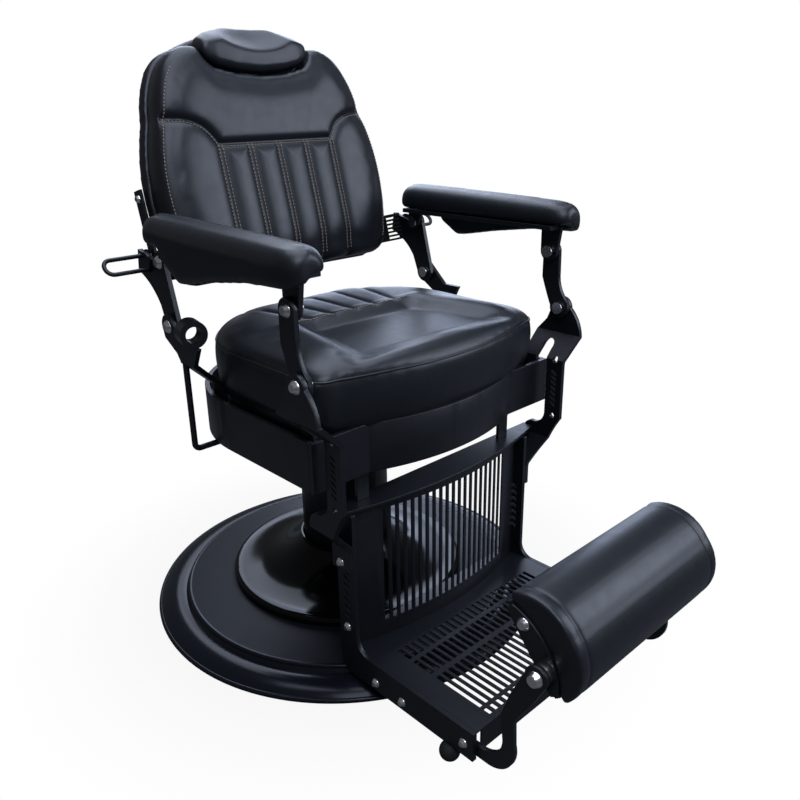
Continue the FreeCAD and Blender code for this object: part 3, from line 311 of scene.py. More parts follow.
def arc(start: Point, via: Point, end: Point, count: int) -> list[Point]:
    """Points along the circle through three points, without the last one.

    Args:
        start: First point.
        via: A point in between.
        end: Last point, left out.
        count: How many points.

    Returns:
        The points.
    """
    (ax, ay), (bx, by), (cx, cy) = start, via, end
    turn = 2 * (ax * (by - cy) + bx * (cy - ay) + cx * (ay - by))
    if abs(turn) < STRAIGHT:
        return [(ax + (cx - ax) * i / count, ay + (cy - ay) * i / count) for i in range(count)]
    sa, sb, sc = ax * ax + ay * ay, bx * bx + by * by, cx * cx + cy * cy
    ox = (sa * (by - cy) + sb * (cy - ay) + sc * (ay - by)) / turn
    oy = (sa * (cx - bx) + sb * (ax - cx) + sc * (bx - ax)) / turn
    radius = math.hypot(ax - ox, ay - oy)
    first = math.atan2(ay - oy, ax - ox)
    middle = (math.atan2(by - oy, bx - ox) - first) % math.tau
    last = (math.atan2(cy - oy, cx - ox) - first) % math.tau
    if middle > last:
        last -= math.tau
    angles = [first + last * i / count for i in range(count)]
    return [(ox + radius * math.cos(a), oy + radius * math.sin(a)) for a in angles]


def ring(corners: list[Point], bends: dict[int, Point], count: int = 14) -> Array:
    """Samples a closed outline of straight and round stretches.

    Args:
        corners: The outline's corners in order.
        bends: For a corner's number, the point that the arc to the next corner passes through.
        count: Points on each stretch.

    Returns:
        The outline as rows of two numbers.
    """
    points: list[Point] = []
    for index, start in enumerate(corners):
        end = corners[(index + 1) % len(corners)]
        middle = ((start[0] + end[0]) / 2, (start[1] + end[1]) / 2)
        points += arc(start, bends.get(index, middle), end, count)
    return np.array(points)


def lofted(name: str, rings: list[Array]) -> Object:
    """A closed skin over rings of equal count, in metres.

    Args:
        name: The object's name.
        rings: Rows of three millimetre coordinates each.

    Returns:
        A new object, its faces outwards.
    """
    count = len(rings[0])
    made = bmesh.new()
    rows = [[made.verts.new(Vector(p) * MM) for p in each] for each in rings]
    for lower, upper in zip(rows, rows[1:]):
        for i in range(count):
            j = (i + 1) % count
            made.faces.new((lower[i], lower[j], upper[j], upper[i]))
    made.faces.new(rows[0])
    made.faces.new(rows[-1])
    bmesh.ops.triangulate(made, faces=[f for f in made.faces if len(f.verts) > 4])
    bmesh.ops.recalc_face_normals(made, faces=made.faces)
    mesh = bpy.data.meshes.new(name)
    made.to_mesh(mesh)
    made.free()
    return linked(name, mesh)


def linked(name: str, data: ID) -> Object:
    """A new object for some data, linked into the scene.

    Args:
        name: The object's name.
        data: A mesh, curve, lamp or camera.

    Returns:
        The object.
    """
    made = bpy.data.objects.new(name, data)
    bpy.context.scene.collection.objects.link(made)
    return made


def modify(piece: Object, name: str, kind: str, **settings: object) -> bpy.types.Modifier:
    """Adds a modifier with its settings.

    Args:
        piece: The object.
        name: The modifier's name.
        kind: Blender's name for its type.
        settings: Its properties.

    Returns:
        The new modifier.
    """
    made = piece.modifiers.new(name, kind)
    for key, value in settings.items():
        setattr(made, key, value)
    return made


def settled(piece: Object) -> Object:
    """Makes a piece's modifiers or curve into its own plain mesh.

    Args:
        piece: A mesh or curve object.

    Returns:
        An object of the same name with a plain mesh and no modifiers.
    """
    bpy.context.view_layer.update()
    graph = bpy.context.evaluated_depsgraph_get()
    mesh = bpy.data.meshes.new_from_object(piece.evaluated_get(graph))
    name = piece.name
    place = piece.matrix_world.copy()
    bpy.data.objects.remove(piece)
    made = linked(name, mesh)
    made.name = name
    mesh.transform(place)
    return made


def carved(piece: Object, cut: Object) -> Object:
    """Cuts one object out of another.

    Args:
        piece: What is cut.
        cut: What is taken away, and removed from the scene.

    Returns:
        The cut piece with a plain mesh.
    """
    modify(piece, "carve", "BOOLEAN", object=cut, solver="EXACT")
    piece = settled(piece)
    bpy.data.objects.remove(cut)
    return piece


def strung(name: str, rows: Lines, closed: bool = False) -> Object:
    """A curve with a polyline for each row.

    Args:
        name: The object's name.
        rows: Lines of points.
        closed: Whether each line closes on itself.

    Returns:
        The curve object.
    """
    curve = bpy.data.curves.new(name, "CURVE")
    curve.dimensions = "3D"
    for row in rows:
        line = curve.splines.new("POLY")
        line.points.add(len(row) - 1)
        line.points.foreach_set("co", [c for p in row for c in (*p, 1.0)])
        line.use_cyclic_u = closed
    return linked(name, curve)


def rows_of(items: bpy.types.bpy_prop_collection, name: str) -> Array:
    """A vector property of each item.

    Args:
        items: Vertices or normals of a mesh.
        name: The property.

    Returns:
        Rows of three numbers.
    """
    flat = np.zeros(len(items) * 3, np.float32)
    items.foreach_get(name, flat)
    return flat.reshape(-1, 3).astype(float)


def reshape(mesh: Mesh, points: Array) -> None:
    """Gives a mesh new vertex coordinates."""
    mesh.vertices.foreach_set("co", points.astype(np.float32).ravel())
    mesh.update()


def smooth_step(value: Array, low: float, high: float) -> Array:
    """Rises smoothly from 0 at `low` to 1 at `high`."""
    share = np.clip((value - low) / (high - low), 0, 1)
    return share * share * (3 - 2 * share)


def nearest(points: Array, path: list[Point]) -> Array:
    """Distance in a plane from each point to a polyline.

    Args:
        points: Rows of two coordinates.
        path: The polyline's points.

    Returns:
        One distance for each row.
    """
    best = np.full(len(points), np.inf)
    for start, end in zip(np.array(path[:-1], float), np.array(path[1:], float)):
        run = end - start
        share = np.clip(((points - start) @ run) / max(run @ run, TINY), 0, 1)
        best = np.minimum(best, np.linalg.norm(points - start - share[:, None] * run, axis=1))
    return best


def valley(distance: Array, depth: float, width: float) -> Array:
    """Depth of a sewn-down seam: a sharp bottom with full shoulders."""
    return depth * np.exp(-np.sqrt(distance ** 2 + 1.0) / width)


def spread(path: list[Point], step: float) -> list[Point]:
    """Points along a polyline at even steps.

    Args:
        path: The polyline's points, two numbers each.
        step: Wanted distance between points.

    Returns:
        The points, both ends kept.
    """
    line = np.array(path, float)
    runs = np.concatenate([[0], np.cumsum(np.linalg.norm(np.diff(line, axis=0), axis=1))])
    places = np.linspace(0, runs[-1], max(2, int(runs[-1] / step) + 1))
    return list(zip(*[np.interp(places, runs, line[:, k]) for k in range(line.shape[1])]))


def set_at(outline: Array, axis: int, place: float) -> Array:
    """Sets a flat outline at a place along one axis, 0 to 2."""
    return np.insert(outline, axis, place, axis=1)


# Upholstery


@dataclass
class Upholstery:
    """A stuffed piece: a form, swollen by cloth under pressure, then sewn down along its seams."""

    name: str
    node: str
    body: str
    fill: float = 0.8
    voxel: float = 5.0
    swell: float = 7.0
    pressure: float = 4.0
    frames: int = 20
    passes: int = 24
    evened: float = 0.85
    rounding: int = 6
    seams: Lines = field(default_factory=list)
    welts: Lines = field(default_factory=list)

    def form(self) -> Object:
        """Makes the piece's form before stuffing.

        Returns:
            A closed mesh in the piece's own frame, in metres.
        """
        raise NotImplementedError

    def place(self) -> Matrix:
        """From the piece's own frame to the chair's."""
        return Matrix.Identity(4)

    def held(self, points: Array) -> Array:
        """True for each row of millimetre coordinates that lies on a board and stays there."""
        raise NotImplementedError

    def sewn(self, points: Array, facing: Array) -> Array:
        """Pulls the seams in.

        Args:
            points: Rows of millimetre coordinates.
            facing: Rows of outward directions.

        Returns:
            The points after sewing.
        """
        return points

    def mark(self, surface: BVHTree) -> None:
        """Lays the stitch rows and welts, where a piece has them.

        Args:
            surface: The finished surface, in the piece's own frame in metres.
        """

    def build(self) -> Object:
        """Makes the stuffed piece and sets it in place.

        Returns:
            The finished object, which rides on its body.
        """
        piece = self.form()
        modify(piece, "even_mesh", "REMESH", mode="VOXEL", voxel_size=self.voxel * MM)
        modify(piece, "ease", "SMOOTH", factor=0.5, iterations=self.rounding)
        piece = settled(piece)
        self.stuff(piece)
        modify(piece, "finer", "SUBSURF", levels=1, render_levels=1)
        piece = settled(piece)
        mesh = piece.data
        points = self.sewn(rows_of(mesh.vertices, "co") / MM, rows_of(mesh.vertex_normals, "vector"))
        reshape(mesh, points * MM)
        mesh.shade_smooth()
        self.mark(BVHTree.FromObject(piece, bpy.context.evaluated_depsgraph_get()))
        place = self.place()
        mesh.transform(place)
        for lines in (self.seams, self.welts):
            lines[:] = [[place @ p for p in row] for row in lines]
        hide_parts(self.node)
        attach(piece, self.body)
        return piece

    def stuff(self, piece: Object) -> None:
        """Swells a piece as cloth under pressure, with a cap on how far a point may move.

        Args:
            piece: The evenly meshed piece, changed in place.
        """
        rest = rows_of(piece.data.vertices, "co")
        stays = piece.vertex_groups.new(name="stays")
        stays.add([int(i) for i in np.nonzero(self.held(rest / MM))[0]], 1.0, "REPLACE")
        cloth = piece.modifiers.new("stuffing", "CLOTH")
        cloth.settings.use_pressure = True
        cloth.settings.uniform_pressure_force = self.pressure
        cloth.settings.vertex_group_mass = "stays"
        cloth.settings.effector_weights.gravity = 0
        cloth.point_cache.frame_start = 1
        cloth.point_cache.frame_end = self.frames
        scene = bpy.context.scene
        for frame in range(1, self.frames + 1):
            scene.frame_set(frame)
        graph = bpy.context.evaluated_depsgraph_get()
        moved = rows_of(piece.evaluated_get(graph).data.vertices, "co") - rest
        scene.frame_set(1)
        piece.modifiers.remove(cloth)
        far = np.linalg.norm(moved, axis=1)[:, None]
        moved *= np.minimum(1, self.swell * MM / np.maximum(far, TINY))
        facing = rows_of(piece.data.vertex_normals, "vector")
        inward = np.minimum(np.sum(moved * facing, axis=1), 0)
        moved -= inward[:, None] * facing
        moved = (1 - self.evened) * moved + self.evened * self.eased(piece.data, moved)
        reshape(piece.data, rest + moved)

    def eased(self, mesh: Mesh, moves: Array, pull: float = 0.6) -> Array:
        """Evens out moves between neighbouring points, as foam under a cover does.

        Args:
            mesh: The mesh whose edges join neighbours.
            moves: One move for each point.
            pull: How far each point goes towards its neighbours' mean at each pass.

        Returns:
            The evened moves.
        """
        ends = np.zeros(len(mesh.edges) * 2, np.int32)
        mesh.edges.foreach_get("vertices", ends)
        pairs = ends.reshape(-1, 2)
        here = np.concatenate([pairs[:, 0], pairs[:, 1]])
        there = np.concatenate([pairs[:, 1], pairs[:, 0]])
        count = np.maximum(np.bincount(here, minlength=len(moves)), 1)[:, None]
        for _ in range(self.passes):
            mean = np.column_stack([np.bincount(here, moves[there, k], len(moves)) for k in range(3)]) / count
            moves = (1 - pull) * moves + pull * mean
        return moves

    def laid(self, surface: BVHTree, points: list[Vector], aim: Vector, lift: float) -> list[Vector]:
        """Drops a line of points on the surface.

        Args:
            surface: The finished surface, in metres.
            points: Points outside it, in millimetres.
            aim: The direction they drop in.
            lift: How far above the surface they end, in millimetres.

        Returns:
            The points that hit, in metres.
        """
        found = []
        for point in points:
            hit, facing, _, _ = surface.ray_cast(Vector(point) * MM, aim)
            if hit is not None:
                found.append(hit + facing * lift * MM)
        return found


BACK_FRAME = Matrix.Translation((0, 0.093, 0.640)) @ Matrix.Rotation(math.radians(-15), 4, "X")


def back_outline(inset: float, low: float = 0.0, high: float = 0.0, arch: float = 0.0) -> Array:
    """Outline of the back at one depth, across and up.

    Args:
        inset: How far it lies inside the full outline.
        low: Extra at the foot.
        high: Extra at the top.
        arch: Rise of the top edge's middle.

    Returns:
        The outline as rows of two numbers.
    """
    top = 386 - inset - high
    foot = inset + low - 6
    side = [(182 - inset / 2, foot), (227 - inset, foot + 40), (217 - inset, 270 - high / 2),
            (195 - inset, 342 - inset / 2 - high), (140 - inset, top)]
    bends = [(214 - inset, foot + 11), (241 - inset, 128), (208 - inset, 312 - inset / 4 - 0.75 * high),
             (174 - inset, 369 - 0.8 * inset - high)]
    corners = side + [(-x, z) for x, z in reversed(side)]
    vias = dict(enumerate(bends))
    vias[4] = (0, top + arch)
    vias.update({5 + i: (-x, z) for i, (x, z) in enumerate(reversed(bends))})
    return ring(corners, vias)


@dataclass
class OnBack(Upholstery):
    """A stuffed piece drawn in the frame of the reclining back."""

    def place(self) -> Matrix:
        """The back's frame."""
        return BACK_FRAME


@dataclass
class BackCushion(OnBack):
    """The front of the back: a smooth yoke over sewn channels, with a notch for the headrest."""

    pitch: float = 60.5
    yoke: float = 219.0
    yoke_depth: float = 11.0
    seam_depth: float = 9.0
    seam_width: float = 10.0
    edge_seam: float = 13.0
    stitch_gap: float = 4.5
    board: float = 41.0
    levels: Points = ((0.5, 34), (2.5, 16), (7, 6), (13, 1.5), (22, 0), (36, 0), (50, 1), (51.5, 6),
                      (51, 14), (44.6, 17))
    shoulder: Points = ((240, 267), (212, 267), (182, 263.5), (162, 257.5), (147, 250), (137, 241.5),
                        (129, 231), (124, 223))

    def form(self) -> Object:
        """Levels from the front face to a rim round the board, less a notch (see Upholstery.form)."""
        piece = lofted(self.name, [set_at(back_outline(inset), 1, depth) for depth, inset in self.levels])
        corners = [(-118, 430), (-118, 384), (-82, 346), (82, 346), (118, 384), (118, 430)]
        bends = {1: (-109, 360), 2: (0, 335), 3: (109, 360)}
        return carved(piece, lofted("notch", [set_at(ring(corners, bends), 1, y) for y in (-30, 80)]))

    def held(self, points: Array) -> Array:
        """The rear face."""
        return points[:, 1] > self.board

    def yoke_line(self) -> list[Point]:
        """The seam under the yoke, across and up: shoulders over the side panels, straight between."""
        shoulder = [*self.shoulder, (2 * self.pitch, self.yoke)]
        return [(-x, z) for x, z in shoulder] + shoulder[::-1]

    def channels(self) -> list[float]:
        """Where the upright seams are across the back."""
        return [self.pitch * lane for lane in (-2, -1, 0, 1, 2)]

    def sewn(self, points: Array, facing: Array) -> Array:
        """Yoke seam, channel seams and the edge seam (see Upholstery.sewn)."""
        front = smooth_step(-facing[:, 1], 0.05, 0.5)
        face = smooth_step(-facing[:, 1], 0.3, 0.85)
        flat = points[:, [0, 2]]
        line = np.array(self.yoke_line())
        under = np.interp(flat[:, 0], line[:, 0], line[:, 1]) - flat[:, 1]
        width = np.where(under < 0, self.seam_width / 2, self.seam_width)
        depth = face * valley(nearest(flat, self.yoke_line()), self.yoke_depth, width)
        for x in self.channels():
            lane = valley(np.abs(flat[:, 0] - x), self.seam_depth, self.seam_width)
            lane *= smooth_step(under, -1, 5)
            depth = np.maximum(depth, front * lane)
        points = points + depth[:, None] * np.array([0, 1, 0])
        edge = valley(np.abs(points[:, 1] - self.edge_seam), depth=3.0, width=2.4) * (1 - front)
        return points - edge[:, None] * facing

    def mark(self, surface: BVHTree) -> None:
        """Stitches by the channel seams, under the yoke and along the sides (see Upholstery.mark)."""
        gaps = (-self.stitch_gap, self.stitch_gap)
        rows = [([(x + gap, 12), (x + gap, self.yoke - 5)], 0.5) for x in self.channels() for gap in gaps]
        rows.append(([(x, z - 6) for x, z in self.yoke_line() if abs(x) < 215], 0.5))
        for side in (-1, 1):
            edge = [(x, z) for x, z in back_outline(11) if x * side > 0 and 24 < z < 345]
            rows.append((sorted(edge, key=lambda p: p[1]), 0.4))
        for row, lift in rows:
            points = [(x, -60, z) for x, z in spread(row, 4)]
            self.seams.append(self.laid(surface, points, Vector((0, 1, 0)), lift))


@dataclass
class BackShell(OnBack):
    """The padded rear of the back, its rim dipped where the headrest's bar slides over it."""

    dip: float = 58.6
    slide: float = 24.0
    board: float = 61.0
    levels: Points = (
        (58.2, 17, 0, 0, 34), (53, 13, 0, 0, 34), (52.6, 3, 0, 0, 34), (54, -2, 0, 0, 34),
        (60, -4, 0, 0, 34), (72, -5, 6, 0, 34), (85, 11, 22, 20, 32), (93, 50, 44, 70, 28),
    )

    def form(self) -> Object:
        """Levels from the board to the rear face."""
        return lofted(self.name, [set_at(back_outline(*shape), 1, depth) for depth, *shape in self.levels])

    def held(self, points: Array) -> Array:
        """The face on the board."""
        return points[:, 1] < self.board

    def sewn(self, points: Array, facing: Array) -> Array:
        """Draws the rim back in the bar's way (see Upholstery.sewn)."""
        way = 1 - smooth_step(np.abs(points[:, 0]), self.slide, self.slide + 14)
        way *= smooth_step(points[:, 2], 300, 330)
        drawn = points.copy()
        drawn[:, 1] = np.maximum(points[:, 1], self.dip - 8 * (1 - way))
        return drawn


@dataclass
class HeadRest(OnBack):
    """A lens-shaped pad with a shallow hollow for the neck in its leaning upper face."""

    middle: Point = (0, 22, 340, 424)
    rows: Points = ((111, 12, 369, 391), (104, 18, 361, 403), (86, 21, 352, 413), (50, 22, 344, 422))
    rear: float = 41.0
    ball: float = 216.0
    ball_place: Point = (0, -158, 522)
    face: float = 19.0
    crest: float = 32.0
    tail: float = 46.0
    brow: float = 0.62
    bulge: float = 2.5

    def form(self) -> Object:
        """Sections across the back, hollowed by a ball and cut flat at the rear (see Upholstery.form)."""
        rows = [(-x, *row) for x, *row in self.rows] + [self.middle]
        rows += [(x, *row) for x, *row in reversed(self.rows)]
        rings = []
        for x, deep, low, high in rows:
            tall = high - low
            edge = min(14, 0.3 * tall)
            front, brow, crest = self.face - deep, low + self.brow * tall, self.crest
            corners = [(front, brow), (crest, high), (self.tail, high - edge), (self.tail, low + edge),
                       (26, low), (front + 3, low + 0.11 * tall)]
            slope = Vector((brow - high, crest - front)).normalized() * self.bulge
            bends = {0: ((front + crest) / 2 + slope.x, (brow + high) / 2 + slope.y),
                     1: (41, high - 0.3 * edge), 3: (38, low + 0.3 * edge),
                     4: (front + 10, low + 0.02 * tall), 5: (front + 0.5, low + 0.3 * tall)}
            flat = ring(corners, bends)
            flat[:, 0] = np.minimum(flat[:, 0], self.rear)
            rings.append(set_at(flat, 0, x))
        piece = lofted(self.name, rings)
        ball = bmesh.new()
        bmesh.ops.create_uvsphere(ball, u_segments=128, v_segments=64, radius=self.ball * MM)
        mesh = bpy.data.meshes.new("hollow")
        ball.to_mesh(mesh)
        ball.free()
        mesh.transform(Matrix.Translation(Vector(self.ball_place) * MM))
        return carved(piece, linked("hollow", mesh))

    def held(self, points: Array) -> Array:
        """The flat rear."""
        return points[:, 1] > self.rear - 2


@dataclass
class SeatCushion(Upholstery):
    """The seat: tall plain boxing, a sunk middle panel, bolsters beside it and pleats behind."""

    sink: float = 15.0
    cord: float = 548.0
    panel_rear: Point = (126, -58)
    panel_front: Point = (166, -250)
    pleat: float = 3.8
    apron: float = 474.0
    levels: Points = ((446, 18), (458, 12), (468, 7), (482, 3), (500, 1), (520, 0), (546, 1.5), (556, 8),
                      (563, 20), (567, 48))

    def level(self, height: float, inset: float) -> Array:
        """Outline of the cushion at one height.

        Args:
            height: Above the floor.
            inset: How far it lies inside the full outline.

        Returns:
            The outline as rows of three numbers.
        """
        half = 255 - inset
        front = -256 + inset
        start = -52
        radius = 195 - inset
        flat = half - radius
        turn = radius * math.cos(math.pi / 4)
        corners = [(-half + 40, front - 9), (half - 40, front - 9), (half, front + 34), (half, start),
                   (flat, start + radius), (-flat, start + radius), (-half, start), (-half, front + 34)]
        bends = {0: (0, -304 + inset), 1: (half - 10, front + 5), 3: (flat + turn, start + turn),
                 5: (-flat - turn, start + turn), 7: (-half + 10, front + 5)}
        return set_at(ring(corners, bends), 2, height)

    def form(self) -> Object:
        """Levels from the seat board to the crown."""
        return lofted(self.name, [self.level(*each) for each in self.levels])

    def held(self, points: Array) -> Array:
        """The foot inside the apron."""
        return points[:, 2] < self.apron

    def sewn(self, points: Array, facing: Array) -> Array:
        """Sunk panel, pleats and the top seam (see Upholstery.sewn)."""
        upper = smooth_step(facing[:, 2], 0.2, 0.6)
        plan = points[:, :2]
        (narrow, rear), (broad, front) = self.panel_rear, self.panel_front
        corners = [(-narrow, rear), (-broad, front), (broad, front), (narrow, rear)]
        edge = nearest(plan, corners + corners[:1])
        width = narrow + (rear - points[:, 1]) * (broad - narrow) / (rear - front)
        sunk = smooth_step(width - np.abs(points[:, 0]), -16, 30) * smooth_step(rear - points[:, 1], -10, 26)
        sunk *= self.sink * smooth_step(points[:, 1] - front, -16, 36)
        inside = (np.abs(points[:, 0]) < width) & (points[:, 1] < rear) & (points[:, 1] > front)
        ahead = smooth_step(-points[:, 1], 30, 60)
        sunk -= np.where(inside, 0, 4 * ahead * np.exp(-((edge - 26) / 16) ** 2))
        pleat = np.zeros(len(points))
        for lane in (-2, -1, 0, 1, 2):
            line = [(48 * lane, -52), (66 * lane, 130)]
            pleat = np.maximum(pleat, valley(nearest(plan, line), self.pleat, width=5))
        down = (sunk + pleat * smooth_step(points[:, 1], -64, -50)) * upper
        points = points - down[:, None] * np.array([0, 0, 1])
        seam = valley(np.abs(points[:, 2] - self.cord), depth=2.5, width=2.4) * (1 - upper)
        return points - seam[:, None] * facing

    def mark(self, surface: BVHTree) -> None:
        """Stitches along the panel's rear edge, and the welt round the top (see Upholstery.mark)."""
        aim = Vector((0, 0, -1))
        rear = spread([(-122, -52), (122, -52)], 4)
        self.seams.append(self.laid(surface, [(x, y, 650) for x, y in rear], aim, 0.5))
        found = [surface.find_nearest(Vector(point) * MM) for point in self.level(self.cord, 0)]
        self.welts.append([spot + facing * 0.6 * MM for spot, facing, _, _ in found])


@dataclass
class CalfRoll(Upholstery):
    """A half-round roll with its flat side on a board."""

    half: float = 177.6
    chord: float = 78.0
    depth: float = 66.5
    tilt: float = -38.0
    pivot: Point = (0, -622, 234)
    lever: Point = (0, -5.6, -28.5)
    band: float = 20.0
    ends: Points = ((0, 3.5), (1.2, 1.6), (3.5, 0.6), (8, 0.1), (16, 0))

    def place(self) -> Matrix:
        """Works out how the roll tilts about the bolts of its hook arms.

        Returns:
            The roll's frame.
        """
        turn = Matrix.Rotation(math.radians(self.tilt), 4, "X")
        centre = Vector(self.pivot) - (turn.to_3x3() @ Vector(self.lever))
        return Matrix.Translation(centre * MM) @ turn

    def form(self) -> Object:
        """Half-round sections along the roll, drawn in at the ends (see Upholstery.form)."""
        rows = [(-self.half + run, inset) for run, inset in self.ends]
        rows += [(self.half - run, inset) for run, inset in reversed(self.ends)]
        rings = []
        for x, inset in rows:
            reach = self.chord - inset
            deep = self.depth - inset
            corners = [(-0.5, reach), (-deep, 0), (-0.5, -reach)]
            belly, rise = -0.7 * deep, 0.72 * reach
            flat = ring(corners, {0: (belly, rise), 1: (belly, -rise)}, 20)
            rings.append(set_at(flat, 0, x))
        return lofted(self.name, rings)

    def held(self, points: Array) -> Array:
        """The flat side."""
        return points[:, 1] > -3

    def sewn(self, points: Array, facing: Array) -> Array:
        """The seams that join the end bands (see Upholstery.sewn)."""
        seam = valley(np.abs(np.abs(points[:, 0]) - self.half + self.band), depth=2.2, width=2.2)
        return points - seam[:, None] * facing


@dataclass
class ArmPad(Upholstery):
    """A crowned pad whose outer side hangs down in a valance over the arm's frame."""

    side: int = 1
    bottom: float = 712.3
    inner: float = 247.0
    outer: float = 315.0
    valance: float = 295.0
    top: float = 756.0
    lean: float = 0.29
    rows: Points = (
        (-305, 19, 706), (-303, 13.2, 702), (-300, 9.6, 699.5), (-295, 5.8, 697.5), (-288, 2.7, 696),
        (-280, 0.8, 695), (-268, 0, 694.5), (-200, 0, 691), (-110, 0, 678), (-40, 0, 665), (-15, 0, 662),
        (23, 0, 684), (43, 0, 711), (66, 0, 711), (82, 2, 711), (93, 7, 711), (100, 14, 711), (103, 20, 711),
    )

    def section(self, y: float, inset: float, hang: float) -> Array:
        """Section of the pad at one place along the arm.

        Args:
            y: Place along the arm.
            inset: How far it lies inside the full section.
            hang: Height of the valance's lower edge.

        Returns:
            The section as rows of three numbers.
        """
        inner = self.inner + inset
        outer = self.outer - inset
        top = self.top - 0.02 * (90 - y) - 0.7 * inset
        bottom = self.bottom + 0.2 * inset
        hang = min(hang, bottom - 1)
        wide = min(25, (outer - inner) / 2 - 1)
        tall = min(22, top - bottom - 6)
        fold = self.valance - inset
        corners = [(inner + 4, bottom), (fold, bottom), (fold + 2.5, hang + 3), (outer - 4, hang),
                   (outer, hang + 8), (outer, top - tall), (outer - wide, top), (inner + wide, top),
                   (inner, top - tall), (inner, bottom + 4)]
        across, down = wide * self.lean, tall * self.lean
        bends = {5: (outer - across, top - down), 6: ((inner + outer) / 2, top + 3),
                 7: (inner + across, top - down)}
        return set_at(ring(corners, bends, 6) * (self.side, 1), 1, y)

    def form(self) -> Object:
        """Sections from the arm's front to its rear."""
        return lofted(self.name, [self.section(*row) for row in self.rows])

    def held(self, points: Array) -> Array:
        """The foot on the frame and the inside of the valance."""
        return (points[:, 2] < self.bottom + 2) & (np.abs(points[:, 0]) < self.valance + 4)


# Rigid parts


@dataclass
class SteelWork:
    """The CAD nodes that stay: a finish for each, and softened edges that catch the light."""

    bevel: float = 0.7
    weld: float = 0.01
    crease: float = 40.0
    plain: tuple[str, ...] = ("base_plate", "column_cover", "tool_ring", "towel_bar", "release_loop_left",
                              "release_loop_right", "pedal_pad")

    def dress(self, frame: dict, materials: dict[Slot, Material]) -> None:
        """Gives each node its slot's finish and soft edges.

        Args:
            materials: A material for each slot.
        """
        for row in frame["record"]["subparts"]:
            node = frame["nodes"][row["node"]]
            node.data.materials.clear()
            node.data.materials.append(materials[Slot(row["material_slot"])])
            if row["node"] in self.plain:
                continue
            modify(node, "weld", "WELD", merge_threshold=self.weld * MM)
            modify(node, "soft_edges", "BEVEL", width=self.bevel * MM, segments=2, limit_method="ANGLE",
                   angle_limit=math.radians(self.crease), harden_normals=True)


# Thread and welts


@dataclass
class Thread:
    """Stitches of visible thread, laid along rows by Geometry Nodes."""

    pitch: float = 6.0
    length: float = 5.4
    width: float = 1.9

    def tree(self) -> NodeTree:
        """The node tree that lays one stitch at each step of a curve.

        Returns:
            The tree, with named inputs for its sizes.
        """
        tree = bpy.data.node_groups.new("stitch_rows", "GeometryNodeTree")
        face = tree.interface
        face.new_socket("Geometry", in_out="INPUT", socket_type="NodeSocketGeometry")
        for name in ("Pitch", "Length", "Width"):
            face.new_socket(name, in_out="INPUT", socket_type="NodeSocketFloat")
        face.new_socket("Material", in_out="INPUT", socket_type="NodeSocketMaterial")
        face.new_socket("Geometry", in_out="OUTPUT", socket_type="NodeSocketGeometry")
        given = add(tree, "NodeGroupInput").outputs
        points = add(tree, "GeometryNodeCurveToPoints", None,
                     {"Curve": given["Geometry"], "Length": given["Pitch"]}, mode="LENGTH")
        turn = add(tree, "FunctionNodeAlignRotationToVector", None, {"Vector": points.outputs["Tangent"]},
                   axis="X")
        bead = add(tree, "GeometryNodeMeshUVSphere", {"Segments": 6, "Rings": 4, "Radius": 0.5})
        size = add(tree, "ShaderNodeCombineXYZ", None,
                   {"X": given["Length"], "Y": given["Width"], "Z": given["Width"]})
        laid = add(tree, "GeometryNodeInstanceOnPoints", None,
                   {"Points": points.outputs["Points"], "Instance": bead.outputs["Mesh"],
                    "Rotation": turn.outputs["Rotation"], "Scale": size.outputs["Vector"]})
        real = add(tree, "GeometryNodeRealizeInstances", None, {"Geometry": laid.outputs["Instances"]})
        smooth = add(tree, "GeometryNodeSetShadeSmooth", None, {"Geometry": real.outputs["Geometry"]})
        dressed = add(tree, "GeometryNodeSetMaterial", None,
                      {"Geometry": smooth.outputs["Geometry"], "Material": given["Material"]})
        add(tree, "NodeGroupOutput", None, {"Geometry": dressed.outputs["Geometry"]})
        return tree

    def sew(self, body: str, rows: Lines, tree: NodeTree, material: Material) -> Object:
        """Sews all rows of one body.

        Args:
            body: The body that the rows ride on.
            rows: Lines of points on finished covers.
            tree: The stitch tree.
            material: The thread.

        Returns:
            One mesh with all stitches.
        """
        piece = strung(f"{body}_stitches", rows)
        laying = modify(piece, "stitches", "NODES", node_group=tree)
        sizes = {"Pitch": self.pitch * MM, "Length": self.length * MM, "Width": self.width * MM,
                 "Material": material}
        for item in tree.interface.items_tree:
            if item.in_out == "INPUT" and item.name in sizes:
                laying[item.identifier] = sizes[item.name]
        piece = settled(piece)
        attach(piece, body)
        return piece


def welted(name: str, rows: Lines, body: str, radius: float = 1.8) -> Object:
    """A welt: covered cord along closed lines, as one mesh.

    Args:
        name: The piece's name.
        rows: Lines of points.
        body: The body it rides on.
        radius: Of the welt, in millimetres.

    Returns:
        The finished piece.
    """
    piece = strung(name, rows, closed=True)
    piece.data.bevel_depth = radius * MM
    piece.data.bevel_resolution = 2
    piece = settled(piece)
    piece.data.shade_smooth()
    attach(piece, body)
    return piece


# Studio


@dataclass(frozen=True)
class Lamp:
    """A soft box: where it stands, what it looks at, its size and power."""

    name: str
    place: Point
    aim: Point
    size: float
    power: float
    colour: str = "#DDE8FF"

    def build(self) -> None:
        """Hangs the lamp."""
        light = bpy.data.lights.new(self.name, "AREA")
        light.size = self.size
        light.energy = self.power
        light.color = linear(self.colour)[:3]
        lamp = linked(self.name, light)
        lamp.location = self.place
        lamp.rotation_euler = (Vector(self.aim) - Vector(self.place)).to_track_quat("-Z", "Y").to_euler()


